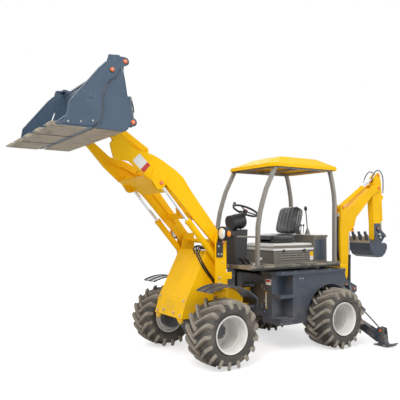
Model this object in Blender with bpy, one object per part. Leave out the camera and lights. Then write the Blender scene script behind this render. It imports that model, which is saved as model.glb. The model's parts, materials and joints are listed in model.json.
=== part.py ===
"""A small articulated backhoe loader, standing with its loader raised and its backhoe folded.

Every place below is measured from the front axle: x forward, y to the machine's left, z up from
the ground, in metres. FRONT_AXLE_X then moves the whole machine so that the origin is under the
middle of its length.
"""
import math

import bmesh
import bpy
from mathutils import Matrix, Vector

for old in list(bpy.data.objects):
    bpy.data.objects.remove(old, do_unlink=True)

# ---------------------------------------------------------------- driving dimensions
FRONT_AXLE_X = 0.814      # front axle, from the middle of the machine's length
WHEELBASE = 1.775
PIVOT_X = -0.86           # the articulation pin
TYRE_RADIUS = 0.382
TYRE_WIDTH = 0.41
WHEEL_Y = 0.669           # middle of each tyre
RIM_RADIUS = 0.200        # where the bead sits
RIM_LIP = 0.212
RIM_DISH = -0.10          # the disc, inboard of the tyre's middle
AXLE_TUBE = 0.062
GAP = 0.0003              # between pieces that touch
PLAY = 0.002              # round a pin
SLIDE = 0.001             # round a piston rod

ARM_IN, ARM_OUT = 0.345, 0.385        # the two faces of each loader arm
CYLINDER_Y = 0.365                    # the lift cylinders, under the arms
TOWER_IN, TOWER_OUT = 0.295, 0.320    # the tower's side plates
POST_IN, POST_OUT = 0.425, 0.450      # the plates outside the arms
BODY_Y = 0.62                         # outer side of the rear body
DECK_Y = 0.50                         # half width of the platform
DECK_Z = 1.07                         # top of the platform
DECK_THICK = 0.04
POST_Y = 0.435                        # canopy posts
POST_R = 0.0225
BUCKET_Y = 0.83                       # half width of the loader bucket
WALL = 0.012                          # bucket plate

# hinge pins as (x, z)
ARM_PIN = (-0.17, 1.38)
LIFT_BASE = (-0.17, 1.13)
LIFT_EYE = (0.63, 2.045)
BUCKET_PIN = (1.21, 2.56)
JAW_PIN = (1.412, 3.077)
JAW_BASE = (1.170, 2.596)
JAW_EYE = (1.272, 3.182)
ROCKER_PIN = (0.66, 2.18)
TILT_BASE = (0.12, 1.78)
LINK_EYE = (1.189, 2.799)
BOOM_PIN = (-2.665, 0.68)
BOOM_BASE = (-2.84, 0.62)
BOOM_EYE = (-2.86, 1.512)
DIPPER_PIN = (-3.49, 2.165)
DIPPER_BASE = (-2.66, 1.84)
DIPPER_EYE = (-3.515, 2.37)
SCOOP_PIN = (-3.43, 1.36)
SCOOP_BASE = (-3.615, 2.02)
SCOOP_EYE = (-3.635, 1.40)
ROCKER2_PIN = (-3.47, 1.52)
SCOOP_LINK = (-3.53, 1.27)
SWING_X = -2.52
LEG_PIN = (0.36, 0.34)      # stabilizer, as (|y|, z)
LEG_BASE = (0.36, 0.66)
LEG_EYE = (0.985, 0.20)
LEG_X = (-2.39, -2.31)      # rear and front face of each stabilizer leg

ROCKER_LONG, ROCKER_SHORT, ROCKER_ANGLE = 0.27, 0.20, 94.1


def polar(centre, radius, degrees):
    angle = math.radians(degrees)
    return (centre[0] + radius * math.cos(angle), centre[1] + radius * math.sin(angle))


def arc(centre, radius, first, last, steps):
    """Points (x, z) along an arc, both ends included."""
    return [polar(centre, radius, first + (last - first) * i / steps) for i in range(steps + 1)]


ROCKER_END = polar(ROCKER_PIN, ROCKER_LONG, ROCKER_ANGLE)
TILT_EYE = polar(ROCKER_PIN, ROCKER_SHORT, ROCKER_ANGLE)

# ---------------------------------------------------------------- materials
MATERIALS = {}


def material(name, colour, roughness, metallic=0.0):
    made = bpy.data.materials.new(name)
    made.use_nodes = True
    shader = made.node_tree.nodes["Principled BSDF"]
    shader.inputs["Base Color"].default_value = (*colour, 1.0)
    shader.inputs["Roughness"].default_value = roughness
    shader.inputs["Metallic"].default_value = metallic
    MATERIALS[name] = made


material("yellow_paint", (0.95, 0.55, 0.01), 0.35)
material("slate_paint", (0.045, 0.06, 0.08), 0.4)
material("blue_grey_paint", (0.12, 0.19, 0.29), 0.4)
material("taupe_paint", (0.15, 0.13, 0.105), 0.45)
material("grey_paint", (0.30, 0.32, 0.35), 0.4)
material("black_paint", (0.015, 0.015, 0.017), 0.5)
material("rim_paint", (0.62, 0.62, 0.60), 0.4)
material("chrome", (0.8, 0.8, 0.82), 0.12, 1.0)
material("tyre_rubber", (0.03, 0.028, 0.026), 0.85)
material("hose_rubber", (0.012, 0.012, 0.012), 0.5)
material("seat_vinyl", (0.02, 0.02, 0.022), 0.5)
material("black_plastic", (0.02, 0.02, 0.02), 0.5)
material("cast_iron", (0.05, 0.05, 0.05), 0.7)


# ---------------------------------------------------------------- simple solids
def solid(bm):
    bmesh.ops.recalc_face_normals(bm, faces=bm.faces)
    mesh = bpy.data.meshes.new("solid")
    bm.to_mesh(mesh)
    bm.free()
    made = bpy.data.objects.new("solid", mesh)
    bpy.context.collection.objects.link(made)
    return made


def prism(outline, low, high, axis="y"):
    """A plate: the outline's two coordinates, in the order x, y, z, drawn out along axis."""
    def point(a, b, along):
        return {"x": (along, a, b), "y": (a, along, b), "z": (a, b, along)}[axis]

    bm = bmesh.new()
    near = [bm.verts.new(point(a, b, low)) for a, b in outline]
    far = [bm.verts.new(point(a, b, high)) for a, b in outline]
    bm.faces.new(near)
    bm.faces.new(far)
    for i in range(len(outline)):
        j = (i + 1) % len(outline)
        bm.faces.new((near[i], near[j], far[j], far[i]))
    return solid(bm)


def box(x, y, z):
    return prism([(x[0], y[0]), (x[1], y[0]), (x[1], y[1]), (x[0], y[1])], z[0], z[1], "z")


def rod(start, end, radius, sides=14, end_radius=None):
    """A round bar between two points."""
    start, end = Vector(start), Vector(end)
    bm = bmesh.new()
    bmesh.ops.create_cone(bm, cap_ends=True, segments=sides, radius1=radius,
                          radius2=radius if end_radius is None else end_radius,
                          depth=(end - start).length)
    turn = (end - start).to_track_quat("Z", "Y").to_matrix().to_4x4()
    bmesh.ops.transform(bm, matrix=Matrix.Translation((start + end) / 2) @ turn, verts=bm.verts)
    return solid(bm)


def pin(place, low, high, radius, sides=14):
    """A round bar across the machine, through the (x, z) place."""
    return rod((place[0], low, place[1]), (place[0], high, place[1]), radius, sides)


def turned(profile, centre, sides, side=1):
    """A ring round the axle at centre, from closed (radius, y) points."""
    bm = bmesh.new()
    rings = []
    for i in range(sides):
        angle = 2 * math.pi * i / sides
        rings.append([bm.verts.new((centre[0] + r * math.cos(angle), centre[1] + side * y,
                                    centre[2] + r * math.sin(angle))) for r, y in profile])
    for i in range(sides):
        this, following = rings[i], rings[(i + 1) % sides]
        for k in range(len(profile)):
            m = (k + 1) % len(profile)
            bm.faces.new((this[k], this[m], following[m], following[k]))
    return solid(bm)


def pipe(points, radius, sides=3):
    """A bent round bar through points, with closed ends."""
    curve = bpy.data.curves.new("pipe", "CURVE")
    curve.dimensions = "3D"
    curve.bevel_depth = radius
    curve.bevel_resolution = sides
    curve.use_fill_caps = True
    spline = curve.splines.new("POLY")
    spline.points.add(len(points) - 1)
    for place, point in zip(spline.points, points):
        place.co = (*point, 1.0)
    made = bpy.data.objects.new("pipe", curve)
    bpy.context.collection.objects.link(made)
    bpy.context.view_layer.update()
    mesh = bpy.data.meshes.new_from_object(made.evaluated_get(bpy.context.evaluated_depsgraph_get()))
    bpy.data.objects.remove(made, do_unlink=True)
    bm = bmesh.new()
    bm.from_mesh(mesh)
    bmesh.ops.remove_doubles(bm, verts=bm.verts, dist=1e-6)
    return solid(bm)


def smooth_line(points, steps):
    """A smooth curve through the points (Catmull-Rom), steps pieces to each span."""
    knots = [Vector(p) for p in points]
    knots = [2 * knots[0] - knots[1]] + knots + [2 * knots[-1] - knots[-2]]
    line = []
    for a, b, c, d in zip(knots, knots[1:], knots[2:], knots[3:]):
        for i in range(steps):
            t = i / steps
            line.append(0.5 * (2 * b + (c - a) * t + (2 * a - 5 * b + 4 * c - d) * t ** 2
                               + (3 * b - a - 3 * c + d) * t ** 3))
    return line + [knots[-2]]


def evaluated_mesh(made):
    bpy.context.view_layer.update()
    return bpy.data.meshes.new_from_object(made.evaluated_get(bpy.context.evaluated_depsgraph_get()))


def combine(body, other, operation):
    step = body.modifiers.new(operation.lower(), "BOOLEAN")
    step.operation = operation
    step.solver = "EXACT"
    step.object = other
    mesh = evaluated_mesh(body)
    body.modifiers.clear()
    body.data = mesh
    bpy.data.objects.remove(other, do_unlink=True)


def part(name, paint, solids, cuts=(), pivot=(0.0, 0.0, 0.0)):
    """Joins the solids into one body, takes the cuts out of it, and puts its origin on pivot."""
    body = solids[0]
    for other in solids[1:]:
        combine(body, other, "UNION")
    for cut in cuts:
        combine(body, cut, "DIFFERENCE")
    bm = bmesh.new()
    bm.from_mesh(body.data)
    bmesh.ops.remove_doubles(bm, verts=bm.verts, dist=1e-5)
    bmesh.ops.translate(bm, vec=-Vector(pivot), verts=bm.verts)
    bm.to_mesh(body.data)
    bm.free()
    body.name = name
    body.data.name = name
    body.location = Vector(pivot) + Vector((FRONT_AXLE_X, 0, 0))
    body.data.materials.clear()
    body.data.materials.append(MATERIALS[paint])
    body.data.shade_smooth()
    body.data.set_sharp_from_angle(angle=math.radians(35))
    return body


def at(place, y=0.0):
    return Vector((place[0], y, place[1]))


SIDES = (("left", 1), ("right", -1))


def span(side, low, high):
    """The y range of a piece on one side of the machine."""
    return (low, high) if side > 0 else (-high, -low)


# ---------------------------------------------------------------- hydraulic cylinders
BORE_FLOOR = 0.02      # solid metal between a tube's eye and its bore


def rod_start(boss, stroke):
    """Where a rod starts from its tube's eye, so that its whole stroke stays in the bore."""
    return boss + BORE_FLOOR + 0.006 + stroke


def barrel(name, paint, base, eye, length, radius, rod_radius, boss, bore, half_width):
    """A cylinder tube from its base eye towards its rod's eye, open at the gland."""
    axis = (eye - base).normalized()
    across = Vector((0, 1, 0)) if abs(axis.y) < 0.01 else Vector((1, 0, 0))
    gland = base + axis * length
    solids = [rod(base + axis * boss * 0.5, gland - axis * 0.01, radius),
              rod(gland - axis * radius, gland, radius * 1.1),
              rod(base - across * half_width, base + across * half_width, boss)]
    cuts = [rod(base + axis * (boss + BORE_FLOOR), gland + axis * 0.05, rod_radius + SLIDE),
            rod(base - across * 0.2, base + across * 0.2, bore)]
    return part(name, paint, solids, cuts, base)


def piston_rod(name, base, eye, inside, radius, boss, half_width):
    """A piston rod, from inside its tube out to its eye."""
    axis = (eye - base).normalized()
    across = Vector((0, 1, 0)) if abs(axis.y) < 0.01 else Vector((1, 0, 0))
    return part(name, "chrome", [rod(base + axis * inside, eye, radius),
                                 rod(eye - across * half_width, eye + across * half_width, boss)],
                pivot=eye)


# ---------------------------------------------------------------- wheels
def wheel(end, x, side_name, side):
    centre = (x, side * WHEEL_Y, TYRE_RADIUS)
    half = TYRE_WIDTH / 2
    tread = [(TYRE_RADIUS, -half * 0.80), (TYRE_RADIUS, half * 0.80), (TYRE_RADIUS - 0.03, half * 0.97),
             (RIM_RADIUS + 0.085, half), (RIM_LIP, half * 0.86), (RIM_RADIUS + 0.003, half * 0.80),
             (RIM_RADIUS + 0.003, -half * 0.80), (RIM_LIP, -half * 0.86), (RIM_RADIUS + 0.085, -half),
             (TYRE_RADIUS - 0.03, -half * 0.97)]
    part(f"{end}_{side_name}_tyre", "tyre_rubber", [turned(tread, centre, 36, side)], pivot=centre)
    edge = half * 0.80
    dish = RIM_DISH
    rim = [(RIM_RADIUS + 0.002, -edge), (RIM_RADIUS + 0.002, edge), (RIM_LIP - 0.004, half * 0.90),
           (RIM_RADIUS - 0.008, half * 0.90), (RIM_RADIUS - 0.035, dish), (0.10, dish - 0.02), (0.09, dish + 0.05),
           (0.001, dish + 0.05), (0.001, dish - 0.032), (RIM_RADIUS - 0.032, dish - 0.032),
           (RIM_RADIUS - 0.015, -edge)]
    part(f"{end}_{side_name}_rim", "rim_paint", [turned(rim, centre, 36, side)], pivot=centre)


for end, x in (("front", 0.0), ("rear", -WHEELBASE)):
    for side_name, side in SIDES:
        wheel(end, x, side_name, side)

# ---------------------------------------------------------------- axles
HUB_IN = WHEEL_Y + RIM_DISH - 0.032 - 0.006    # the hub's face, just inside the wheel's disc


def axle(name, x, seat_z):
    centre = (x, 0.0, TYRE_RADIUS)
    bulb = turned([(0.115, -0.03), (0.115, 0.03), (0.08, 0.15), (0.001, 0.15), (0.001, -0.15), (0.08, -0.15)],
                  centre, 18)
    tube = HUB_IN - 0.03
    solids = [rod((x, -tube, TYRE_RADIUS), (x, tube, TYRE_RADIUS), AXLE_TUBE, 16), bulb]
    for side_name, side in SIDES:
        solids.append(rod((x, side * (HUB_IN - 0.10), TYRE_RADIUS), (x, side * HUB_IN, TYRE_RADIUS), 0.13, 18))
        y = span(side, 0.20, 0.27)
        solids.append(box((x - 0.05, x + 0.05), y, (TYRE_RADIUS, seat_z - GAP)))
    part(name, "slate_paint", solids, pivot=centre)


FRAME_Z = 0.50       # underside of both frames
axle("front_axle", 0.0, FRAME_Z)
axle("rear_axle", -WHEELBASE, FRAME_Z)

# ---------------------------------------------------------------- rear chassis
HINGE_Z = ((0.50, 0.535), (0.775, 0.81))    # the fork's two plates
HINGE_PIN = 0.03
BACK_X = (-2.43, -2.27)
SWING_Z = ((0.44, 0.48), (0.86, 0.90))      # the swing post's two lugs
LEG_GAP = 0.006


def rear_chassis():
    rails = [box((BACK_X[0] + 0.02, -0.93), span(side, 0.215, 0.275), (FRAME_Z, 0.66)) for _, side in SIDES]
    bulkhead = box((-0.965, -0.935), (-0.285, 0.285), (0.40, 0.94))
    cross = [box((x - 0.04, x + 0.04), (-0.22, 0.22), (FRAME_Z + 0.02, 0.60 - GAP)) for x in (-1.25, -1.60)]
    fork = []
    for low, high in HINGE_Z:
        outline = arc((PIVOT_X, 0), 0.07, -90, 90, 8) + [(-0.95, 0.12), (-0.95, -0.12)]
        fork.append(prism(outline, low, high, "z"))
    hinge = rod((PIVOT_X, 0, HINGE_Z[0][0] - 0.02), (PIVOT_X, 0, HINGE_Z[1][1] + 0.02), HINGE_PIN, 20)
    back = box(BACK_X, (-0.30, 0.30), (0.30, 0.93))
    lugs = []
    for low, high in SWING_Z:
        outline = arc((SWING_X, 0), 0.075, 90, 270, 8) + [(BACK_X[0] + 0.02, -0.14), (BACK_X[0] + 0.02, 0.14)]
        lugs.append(prism(outline, low, high, "z"))
    kingpin = rod((SWING_X, 0, SWING_Z[0][0] - 0.02), (SWING_X, 0, SWING_Z[1][1] + 0.02), 0.03, 20)
    brackets = []
    for _, side in SIDES:
        for low, high in ((BACK_X[0] - 0.005, LEG_X[0] - LEG_GAP), (LEG_X[1] + LEG_GAP, BACK_X[1] + 0.03)):
            outline = [(side * y, z) for y, z in ((0.28, 0.28), (0.40, 0.28), (0.42, 0.34), (0.42, 0.66),
                                                  (0.40, 0.72), (0.28, 0.72))]
            brackets.append(prism(outline, low, high, "x"))
        for y, z in (LEG_PIN, LEG_BASE):
            brackets.append(rod((LEG_X[0] - 0.02, side * y, z), (LEG_X[1] + 0.02, side * y, z), 0.02))
    uprights = [box((x - 0.03, x + 0.03), span(side, 0.20, 0.26), (0.64, DECK_Z - DECK_THICK - GAP))
                for x in (-1.02, -2.04) for _, side in SIDES]
    part("rear_chassis", "slate_paint",
         [back] + rails + [bulkhead] + cross + fork + [hinge] + lugs + [kingpin] + brackets + uprights)


rear_chassis()

# ---------------------------------------------------------------- side bodies with steps and wheel arches
BODY_IN = 0.29
BODY_FRONT = -0.90
BODY_Z = (0.345, 0.965)
ARCH_R = 0.42
STEP_Z = ((0.425, 0.670), (0.715, 0.955))    # the two step openings
LIP = 0.03


def side_body(name, side):
    outline = [(BODY_FRONT, BODY_Z[0]), (BODY_FRONT, BODY_Z[1]), (-2.06, BODY_Z[1]), (-2.08, 0.86),
               (-2.02, 0.70), (-1.36, BODY_Z[0])]
    shell = prism(outline, *span(side, BODY_IN, BODY_Y))
    lip = prism([(x, side * y) for x, y in ((BODY_FRONT + LIP, BODY_IN), (BODY_FRONT + LIP, BODY_Y - 0.02),
                                            (BODY_FRONT, BODY_Y + LIP), (-2.04, BODY_Y + LIP),
                                            (-2.10, BODY_Y - 0.02), (-2.10, BODY_IN))],
                BODY_Z[1] - 0.005, BODY_Z[1] + 0.03, "z")
    cuts = [pin((-WHEELBASE, TYRE_RADIUS), *span(side, 0.2, 0.9), ARCH_R, 48)]
    for low, high in STEP_Z:
        plan = [(x, side * y) for x, y in ((BODY_FRONT + 0.1, 0.474), (-1.08, 0.474), (-1.17, 0.8),
                                           (BODY_FRONT + 0.1, 0.8))]
        cuts.append(prism(plan, low, high, "z"))
    part(name, "slate_paint", [shell, lip], cuts)


for side_name, side in SIDES:
    side_body(f"{side_name}_side_body", side)

# ---------------------------------------------------------------- deck, hood, rear console
DECK_X = (-2.10, -0.555)
part("platform", "taupe_paint",
     [box(DECK_X, (-DECK_Y, DECK_Y), (DECK_Z - DECK_THICK, DECK_Z)),
      box((DECK_X[0] + 0.12, DECK_X[1] - 0.55), (-0.4, 0.4), (DECK_Z - DECK_THICK - 0.02, DECK_Z - 0.02))])

HOOD_X = (-1.80, -1.087)
HOOD_Y = 0.30
HOOD_Z = 1.25


def engine_hood():
    low, high = DECK_Z + GAP, HOOD_Z
    base = box(HOOD_X, (-HOOD_Y, HOOD_Y), (low, high))
    bm = bmesh.new()
    rings = []
    for z, inset in ((high - 0.01, -0.008), (high + 0.03, -0.008), (high + 0.08, 0.04)):
        corners = ((HOOD_X[0] + 0.0, -HOOD_Y + inset), (HOOD_X[1] - inset, -HOOD_Y + inset),
                   (HOOD_X[1] - inset, HOOD_Y - inset), (HOOD_X[0] + 0.0, HOOD_Y - inset))
        rings.append([bm.verts.new((x, y, z)) for x, y in corners])
    for below, above in zip(rings, rings[1:]):
        for i in range(4):
            j = (i + 1) % 4
            bm.faces.new((below[i], below[j], above[j], above[i]))
    bm.faces.new(rings[0])
    bm.faces.new(rings[-1])
    part("engine_hood", "taupe_paint", [base, solid(bm)])


engine_hood()
SEAT_Z = HOOD_Z + 0.08

part("rear_console", "taupe_paint",
     [box((-2.06, HOOD_X[0] - 0.006), (-HOOD_Y, HOOD_Y), (DECK_Z + GAP, 1.41)),
      box((-2.07, HOOD_X[0] - 0.006), (-HOOD_Y - 0.01, HOOD_Y + 0.01), (1.405, 1.435))]
     + [rod((x, y, 1.43), (x, y, 1.53), 0.045, 12, 0.012) for x, y in ((-1.90, 0.09), (-1.90, -0.09))]
     + [rod((x, y, 1.52), (x + 0.03, y, 1.80), 0.008, 10) for x, y in ((-1.90, 0.09), (-1.90, -0.09))]
     + [rod((x + 0.028, y, 1.78), (x + 0.034, y, 1.84), 0.018, 12) for x, y in ((-1.90, 0.09), (-1.90, -0.09))])

part("engine_block", "cast_iron", [box((-1.72, -1.14), (-0.20, 0.20), (0.60, 0.99))])

# ---------------------------------------------------------------- seat
SEAT_Y = 0.215
part("seat_cushion", "seat_vinyl",
     [box((-1.60, -1.17), (-SEAT_Y, SEAT_Y), (SEAT_Z + 0.04, SEAT_Z + 0.13)),
      box((-1.56, -1.24), (-0.15, 0.15), (SEAT_Z + GAP, SEAT_Z + 0.05))])
part("seat_back", "seat_vinyl",
     [prism([(-1.50, SEAT_Z + 0.13 + GAP), (-1.62, SEAT_Z + 0.13 + GAP), (-1.68, 1.80), (-1.64, 1.84),
             (-1.58, 1.82)], -SEAT_Y, SEAT_Y)])

# ---------------------------------------------------------------- steering console and wheel
STEER_AXIS = Vector((-0.42, 0, 0.91)).normalized()
WHEEL_CENTRE = Vector((-0.86, 0, 1.765))
part("steering_console", "black_plastic",
     [prism([(-0.60, DECK_Z + GAP), (-0.58, 1.44), (-0.64, 1.52), (-0.80, 1.52), (-0.78, DECK_Z + GAP)], -0.12, 0.12),
      rod((-0.60, 0, 1.60), (-0.80, 0, 1.64), 0.10, 20),
      rod((-0.755, 0, 1.53), WHEEL_CENTRE - STEER_AXIS * 0.034, 0.026, 12)])


def steering_wheel():
    frame = STEER_AXIS.to_track_quat("Z", "Y").to_matrix().to_4x4()
    place = Matrix.Translation(WHEEL_CENTRE) @ frame
    radius, tube = 0.17, 0.014
    bm = bmesh.new()
    rings = []
    for i in range(24):
        turn = 2 * math.pi * i / 24
        rings.append([bm.verts.new(place @ Vector(((radius + tube * math.cos(a)) * math.cos(turn),
                                                   (radius + tube * math.cos(a)) * math.sin(turn),
                                                   tube * math.sin(a))))
                      for a in (2 * math.pi * k / 6 for k in range(6))])
    for i in range(24):
        for k in range(6):
            m = (k + 1) % 6
            n = (i + 1) % 24
            bm.faces.new((rings[i][k], rings[i][m], rings[n][m], rings[n][k]))
    solids = [solid(bm)]
    for turn in (0, 120, 240):
        a = math.radians(turn)
        solids.append(rod(place @ Vector((0, 0, -0.01)), place @ Vector((radius * math.cos(a), radius * math.sin(a), 0)),
                          0.009, 8))
    solids.append(rod(place @ Vector((0, 0, -0.03 + GAP)), place @ Vector((0, 0, 0.008)), 0.03, 16))
    knob = math.radians(60)
    foot = Vector((radius * math.cos(knob), radius * math.sin(knob), 0))
    solids.append(rod(place @ foot, place @ (foot + Vector((0, 0, 0.055))), 0.018, 12))
    part("steering_wheel", "black_plastic", solids)


steering_wheel()

# ---------------------------------------------------------------- canopy
ROOF_X = (-2.11, -0.93)
ROOF_Y = 0.50
ROOF_RIM = 2.335
ROOF_CROWN = 2.455
ROOF_THICK = 0.008
POST_TOP = 2.335


def tube_side(outline, side):
    """A post of square tube bent along the outline, on one side of the machine."""
    knots = [Vector(p) for p in outline]
    outer, inner = [], []
    for i, knot in enumerate(knots):
        before = (knot - knots[i - 1]).normalized() if i else None
        after = (knots[i + 1] - knot).normalized() if i + 1 < len(knots) else None
        along = ((before or after) + (after or before)).normalized()
        across = Vector((-along.y, along.x)) * (POST_R / max(0.6, along.dot(before or after)))
        outer.append(tuple(knot + across))
        inner.append(tuple(knot - across))
    return prism(outer + inner[::-1], *span(side, POST_Y - POST_R, POST_Y + POST_R))


def canopy_frame():
    line = [(-0.702, DECK_Z + GAP), (-0.702, 1.15), (-0.715, 1.557), (-0.748, 1.734), (-0.793, 1.876), (-0.852, 2.037),
            (-0.941, 2.202), (-1.010, POST_TOP), (-1.985, POST_TOP), (-2.014, 2.253), (-2.042, 2.139),
            (-2.069, 2.004), (-2.080, 1.869), (-2.065, 1.15), (-2.065, DECK_Z + GAP)]
    solids = [tube_side(line, side) for _, side in SIDES]
    for x in (-1.06, -1.50, -1.93):
        solids.append(box((x - 0.014, x + 0.014), (-POST_Y, POST_Y), (POST_TOP - 0.013, POST_TOP + 0.012)))
    part("canopy_frame", "grey_paint", solids)


def canopy_roof():
    """A shallow hipped pan: rows across, each row (x, half width, height above the rim)."""
    rows = ((ROOF_X[1], 0.40, 0.0), (ROOF_X[1] - 0.05, ROOF_Y, 0.0), (-1.22, ROOF_Y, 0.0),
            (-1.85, ROOF_Y, 0.0), (ROOF_X[0] + 0.05, ROOF_Y, 0.0), (ROOF_X[0], 0.40, 0.0))
    crown = ROOF_CROWN - ROOF_RIM
    columns = (-1.0, -0.62, 0.0, 0.62, 1.0)

    def height(x, share):
        middle = (ROOF_X[0] + ROOF_X[1]) / 2
        along = abs(x - middle) / (ROOF_X[1] - middle)
        rise = min(1.0, (1.0 - along) / 0.42) if along < 1.0 else 0.0
        across = min(1.0, (1.0 - abs(share)) / 0.38)
        return crown * min(rise, 1.0) * across * (1.0 - 0.12 * share ** 2)

    bm = bmesh.new()
    top, bottom = [], []
    for x, half, _ in rows:
        top.append([bm.verts.new((x, half * c, ROOF_RIM + 0.035 + height(x, c))) for c in columns])
        bottom.append([bm.verts.new((x, half * c, ROOF_RIM + 0.035 - ROOF_THICK + height(x, c))) for c in columns])
    for sheet, flip in ((top, False), (bottom, True)):
        for r in range(len(rows) - 1):
            for c in range(len(columns) - 1):
                quad = (sheet[r][c], sheet[r + 1][c], sheet[r + 1][c + 1], sheet[r][c + 1])
                bm.faces.new(quad if not flip else quad[::-1])
    last, end = len(rows) - 1, len(columns) - 1
    rim = ([(0, c) for c in range(end)] + [(r, end) for r in range(last)] + [(last, c) for c in range(end, 0, -1)]
           + [(r, 0) for r in range(last, 0, -1)])
    for (r, c), (s, d) in zip(rim, rim[1:] + rim[:1]):
        bm.faces.new((top[r][c], top[s][d], bottom[s][d], bottom[r][c]))
    part("canopy_roof", "yellow_paint", [solid(bm)])


canopy_frame()
canopy_roof()

# ---------------------------------------------------------------- front frame and tower
TOWER_OUTLINE = [(0.300, 0.50), (0.255, 0.68), (-0.050, 1.27), (-0.085, 1.45), (-0.130, 1.475), (-0.235, 1.475),
                 (-0.255, 1.05), (-0.330, 0.98), (-0.340, 0.50)]
POST_OUTLINE = [(-0.07, 0.80), (-0.07, 1.40), (-0.095, 1.475), (-0.21, 1.475), (-0.215, 0.80)]


def front_frame():
    solids = [prism(TOWER_OUTLINE, *span(side, TOWER_IN, TOWER_OUT)) for _, side in SIDES]
    face = [(0.314, 0.50), (0.269, 0.685), (-0.035, 1.275), (-0.060, 1.265), (0.243, 0.675), (0.288, 0.50)]
    solids.append(prism(face, -TOWER_OUT, TOWER_OUT))
    solids.append(box((-0.32, 0.24), (-TOWER_IN - 0.01, TOWER_IN + 0.01), (0.50, 0.53)))
    solids.append(box((-0.33, -0.30), (-TOWER_IN - 0.01, TOWER_IN + 0.01), (0.50, 0.98)))
    for _, side in SIDES:
        ear = [(side * y, z) for y, z in ((0.31, 0.52), (0.31, 0.47), (0.285, 0.44), (0.25, 0.44), (0.20, 0.485), (0.16, 0.52))]
        solids.append(prism(ear, 0.289, 0.311, "x"))
    neck = [(-0.31, -0.20), (-0.31, 0.20), (-0.62, 0.085), (-0.86, 0.06), (-0.91, 0.035), (-0.91, -0.035),
            (-0.86, -0.06), (-0.62, -0.085)]
    solids.append(prism(neck, 0.545, 0.765, "z"))
    solids.append(pin(ARM_PIN, -POST_OUT, POST_OUT, 0.028, 20))
    for _, side in SIDES:
        y = span(side, POST_IN, POST_OUT)
        solids.append(prism(POST_OUTLINE, *y))
        solids.append(box((-0.214, -0.08), span(side, TOWER_OUT - 0.01, POST_IN + 0.01), (0.80, 0.83)))
        solids.append(pin(LIFT_BASE, *span(side, TOWER_OUT - 0.01, POST_IN + 0.01), 0.024, 20))
    hole = rod((PIVOT_X, 0, 0.4), (PIVOT_X, 0, 0.9), HINGE_PIN + PLAY, 20)
    part("front_frame", "yellow_paint", solids, [hole], (PIVOT_X, 0, 0.65))


front_frame()

FENDER_R = 0.575
FENDER_C = (-0.005, 0.325)
FENDER_Y = (0.50, 0.80)


def fender(name, side):
    outer = arc(FENDER_C, FENDER_R, 65, 136, 12)
    inner = arc(FENDER_C, FENDER_R - 0.008, 136, 65, 12)
    pan = prism(outer + inner, *span(side, *FENDER_Y))
    ribs = []
    for y in (FENDER_Y[0] + 0.015, sum(FENDER_Y) / 2, FENDER_Y[1] - 0.015):
        rim = arc(FENDER_C, FENDER_R + 0.009, 66, 135, 11) + arc(FENDER_C, FENDER_R - 0.005, 135, 66, 11)
        ribs.append(prism(rim, *span(side, y - 0.012, y + 0.012)))
    stay = box((-0.14, -0.08), span(side, POST_OUT + GAP, FENDER_Y[0] + 0.05), (0.862, 0.888))
    part(name, "grey_paint", [pan] + ribs + [stay])


for side_name, side in SIDES:
    fender(f"{side_name}_front_fender", side)

LAMP = Vector((-0.095, 0.54, 1.479))
LAMP_R = 0.083


def headlamp(name, side):
    centre = Vector((LAMP.x, side * LAMP.y, LAMP.z))
    can = turned([(0.001, 0.0), (LAMP_R, 0.0), (LAMP_R, -0.035), (LAMP_R * 0.8, -0.075), (LAMP_R * 0.45, -0.105),
                  (0.001, -0.105)], (0, 0, 0), 20)
    can.data.transform(Matrix.Translation(centre) @ Matrix.Rotation(-math.pi / 2, 4, "Z"))
    bracket = prism([(-0.075, 1.20), (-0.075, 1.36), (-0.10, 1.43), (-0.17, 1.43), (-0.16, 1.20)],
                    *span(side, POST_OUT + GAP, POST_OUT + 0.010))
    shelf = box((-0.165, -0.11), span(side, POST_OUT + GAP, LAMP.y + 0.02), (1.395, 1.415))
    part(name, "black_plastic", [can, bracket, shelf])


for side_name, side in SIDES:
    headlamp(f"{side_name}_headlamp", side)

# ---------------------------------------------------------------- loader arm
HOSE_LUG = [(1.200, 2.476), (1.228, 2.440), (1.204, 2.345)] + arc((1.145, 2.325), 0.052, 10, -100, 4) + [(1.010, 2.267)]
PLAIN_TIP = [(1.185, 2.476), (1.103, 2.386), (0.996, 2.268)]


def arm_outline(tip):
    return ([(-0.127, 1.534), (-0.011, 1.679), (0.104, 1.814), (0.231, 1.970), (0.338, 2.121), (0.427, 2.191),
             (0.500, 2.233), (0.592, 2.290), (0.696, 2.340), (0.810, 2.377), (0.927, 2.392), (1.090, 2.52)]
            + arc(BUCKET_PIN, 0.048, 150, -70, 10) + tip
            + [(0.844, 2.138), (0.720, 2.050), (0.577, 2.045), (0.391, 1.860), (0.187, 1.641), (-0.012, 1.440)]
            + arc(ARM_PIN, 0.068, -40, -230, 10))


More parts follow.
